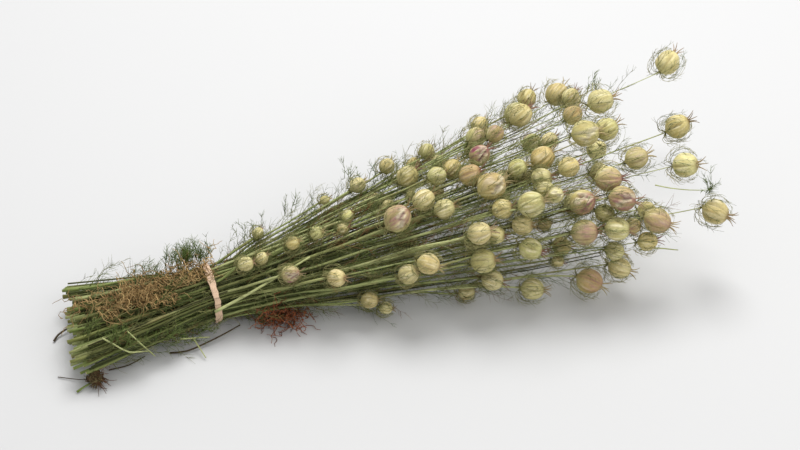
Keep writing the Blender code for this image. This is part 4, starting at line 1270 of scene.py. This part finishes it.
def make_root_ball(material, rng):
    """A knot of dried roots at one cut end."""
    skin = Skin()
    middle = table_place(*ROOT_BALL_PIXEL, 0.007)
    count = ROOT_THREADS
    aims = random_directions(rng, count)
    roots = middle + 0.0015 * aims
    paths = curls(roots, aims, rng.uniform(0.004, 0.009, count), rng, 9)
    tint = mix(LEAF_BROWN * 0.45, LEAF_STRAW * 0.6, rng.random(count) ** 2)
    skin.add_tubes(paths, taper(count, 9, 0.0005, 0.5), tint[:, None], 0)
    count = ROOT_STRANDS
    aims = normal(np.array([0.55, -0.75, 0.0]) + 0.6 * random_directions(rng, count))
    paths = strands(np.repeat(middle[None], count, 0), aims, rng.uniform(0.010, 0.020, count),
                    np.array([[0.0, 0.0, -0.15]]), 0.2, 7, rng)
    skin.add_tubes(paths, taper(count, 7, 0.0005, 0.4), (LEAF_BROWN * 0.5)[None, None], 0)
    skin.make("root_ball", [material])


def make_fill(material, rng):
    """Thin stalks without pods that run between the stems, darkened as painted shade in the gaps
    between them.
    """
    skin = Skin()
    for _ in range(FILL_STALKS):
        a, r = rng.uniform(0, 2 * math.pi), 0.97 * math.sqrt(rng.random())
        end = rng.uniform(*FILL_END)
        xs = np.arange(STATIONS[0] + 0.01 * rng.random(), end, 0.03)
        drift = rng.uniform(-0.5, 0.5)
        half_width, height = outline(xs)
        angle = a + drift * np.maximum(xs, 0.0)
        path = np.column_stack([xs, r * (half_width - FILL_INSET) * np.cos(angle),
                                height / 2 + r * (height / 2 - FILL_INSET) * np.sin(angle)])
        path = smooth_path(path, 0.012)
        # Painted shade: the stalks' colour is dimmed to between a fifth and three quarters, to darken
        # the gaps between the stems
        tint = mix(STEM_GREEN, STEM_BROWN, 0.6 * rng.random()) * rng.uniform(0.2, 0.75)
        thick = taper(1, len(path), rng.uniform(0.0006, 0.0011), 0.5)
        skin.add_tubes(path[None], thick, tint[None, None], STEM, 5)
        roots, aims, reach, _ = offshoots(path[None], 9, 0.7, np.array([0.024]), rng)
        keep = np.abs(roots[:, 0]) > 0.008
        add_feathers(skin, roots[keep], aims[keep], reach[keep], 0 * roots[keep],
                     leaf_tints(rng, int(keep.sum())), rng, 4)
    skin.make("fill_stalks", [material])


def make_camera():
    bpy.context.scene.view_settings.view_transform = "Standard"
    data = bpy.data.cameras.new("camera")
    data.lens = LENS_MM
    data.sensor_width = SENSOR_MM
    camera = bpy.data.objects.new("camera", data)
    turn = Matrix((VIEW_RIGHT, VIEW_UP, VIEW_BACK)).transposed().to_4x4()
    turn.translation = Vector(CAMERA_PLACE)
    camera.matrix_world = turn
    bpy.context.scene.collection.objects.link(camera)
    bpy.context.scene.camera = camera


def make_light(name, place, target, size, power):
    data = bpy.data.lights.new(name, "AREA")
    data.shape = "DISK"
    data.size = size
    data.energy = power
    light = bpy.data.objects.new(name, data)
    light.location = place
    light.rotation_euler = (Vector(place) - Vector(target)).to_track_quat("Z", "Y").to_euler()
    bpy.context.scene.collection.objects.link(light)


def make_studio():
    mesh = bpy.data.meshes.new("floor")
    corners = [(x * FLOOR_REACH, y * FLOOR_REACH, 0) for x, y in ((-1, -1), (1, -1), (1, 1), (-1, 1))]
    mesh.from_pydata(corners, [], [(0, 1, 2, 3)])
    floor = bpy.data.objects.new("floor", mesh)
    bpy.context.scene.collection.objects.link(floor)
    material = bpy.data.materials.new("floor_white")
    material.use_nodes = True
    shader = material.node_tree.nodes["Principled BSDF"]
    shader.inputs["Base Color"].default_value = (FLOOR_GREY, FLOOR_GREY, FLOOR_GREY, 1)
    shader.inputs["Roughness"].default_value = 0.9
    mesh.materials.append(material)
    world = bpy.data.worlds.new("studio")
    world.use_nodes = True
    world.node_tree.nodes["Background"].inputs["Color"].default_value = (1.0, 1.0, 1.0, 1.0)
    world.node_tree.nodes["Background"].inputs["Strength"].default_value = SKY_LIGHT
    bpy.context.scene.world = world
    for light in LIGHTS:
        make_light(*light)


make_camera()
make_studio()
plant_materials = [
    shader_material("dried_stem", 0.62, 900.0, 0.35, 0.25, stretch=(0.08, 1.0, 1.0)),
    shader_material("dried_pod", 0.58, 700.0, 0.30, 0.16),
    shader_material("dried_thread", 0.75, 500.0, 0.0, 0.20),
]
make_plants(plant_materials)
make_tie_band(shader_material("tie_paper", 0.8, 1200.0, 0.4, 0.15, stretch=(0.3, 1.0, 1.0)))
bits = np.random.default_rng(5)
make_curls("curls_top", CURLS_ON_TOP, CURLS_DRY, plant_materials[THREAD], 1.0, bits)
make_curls("curls_below", CURLS_BELOW, CURLS_RED, plant_materials[THREAD], 0.4, bits)
make_tufts(plant_materials[THREAD], bits)
make_twigs(plant_materials[STEM], bits)
make_root_ball(plant_materials[THREAD], bits)
make_fill(plant_materials[THREAD], bits)
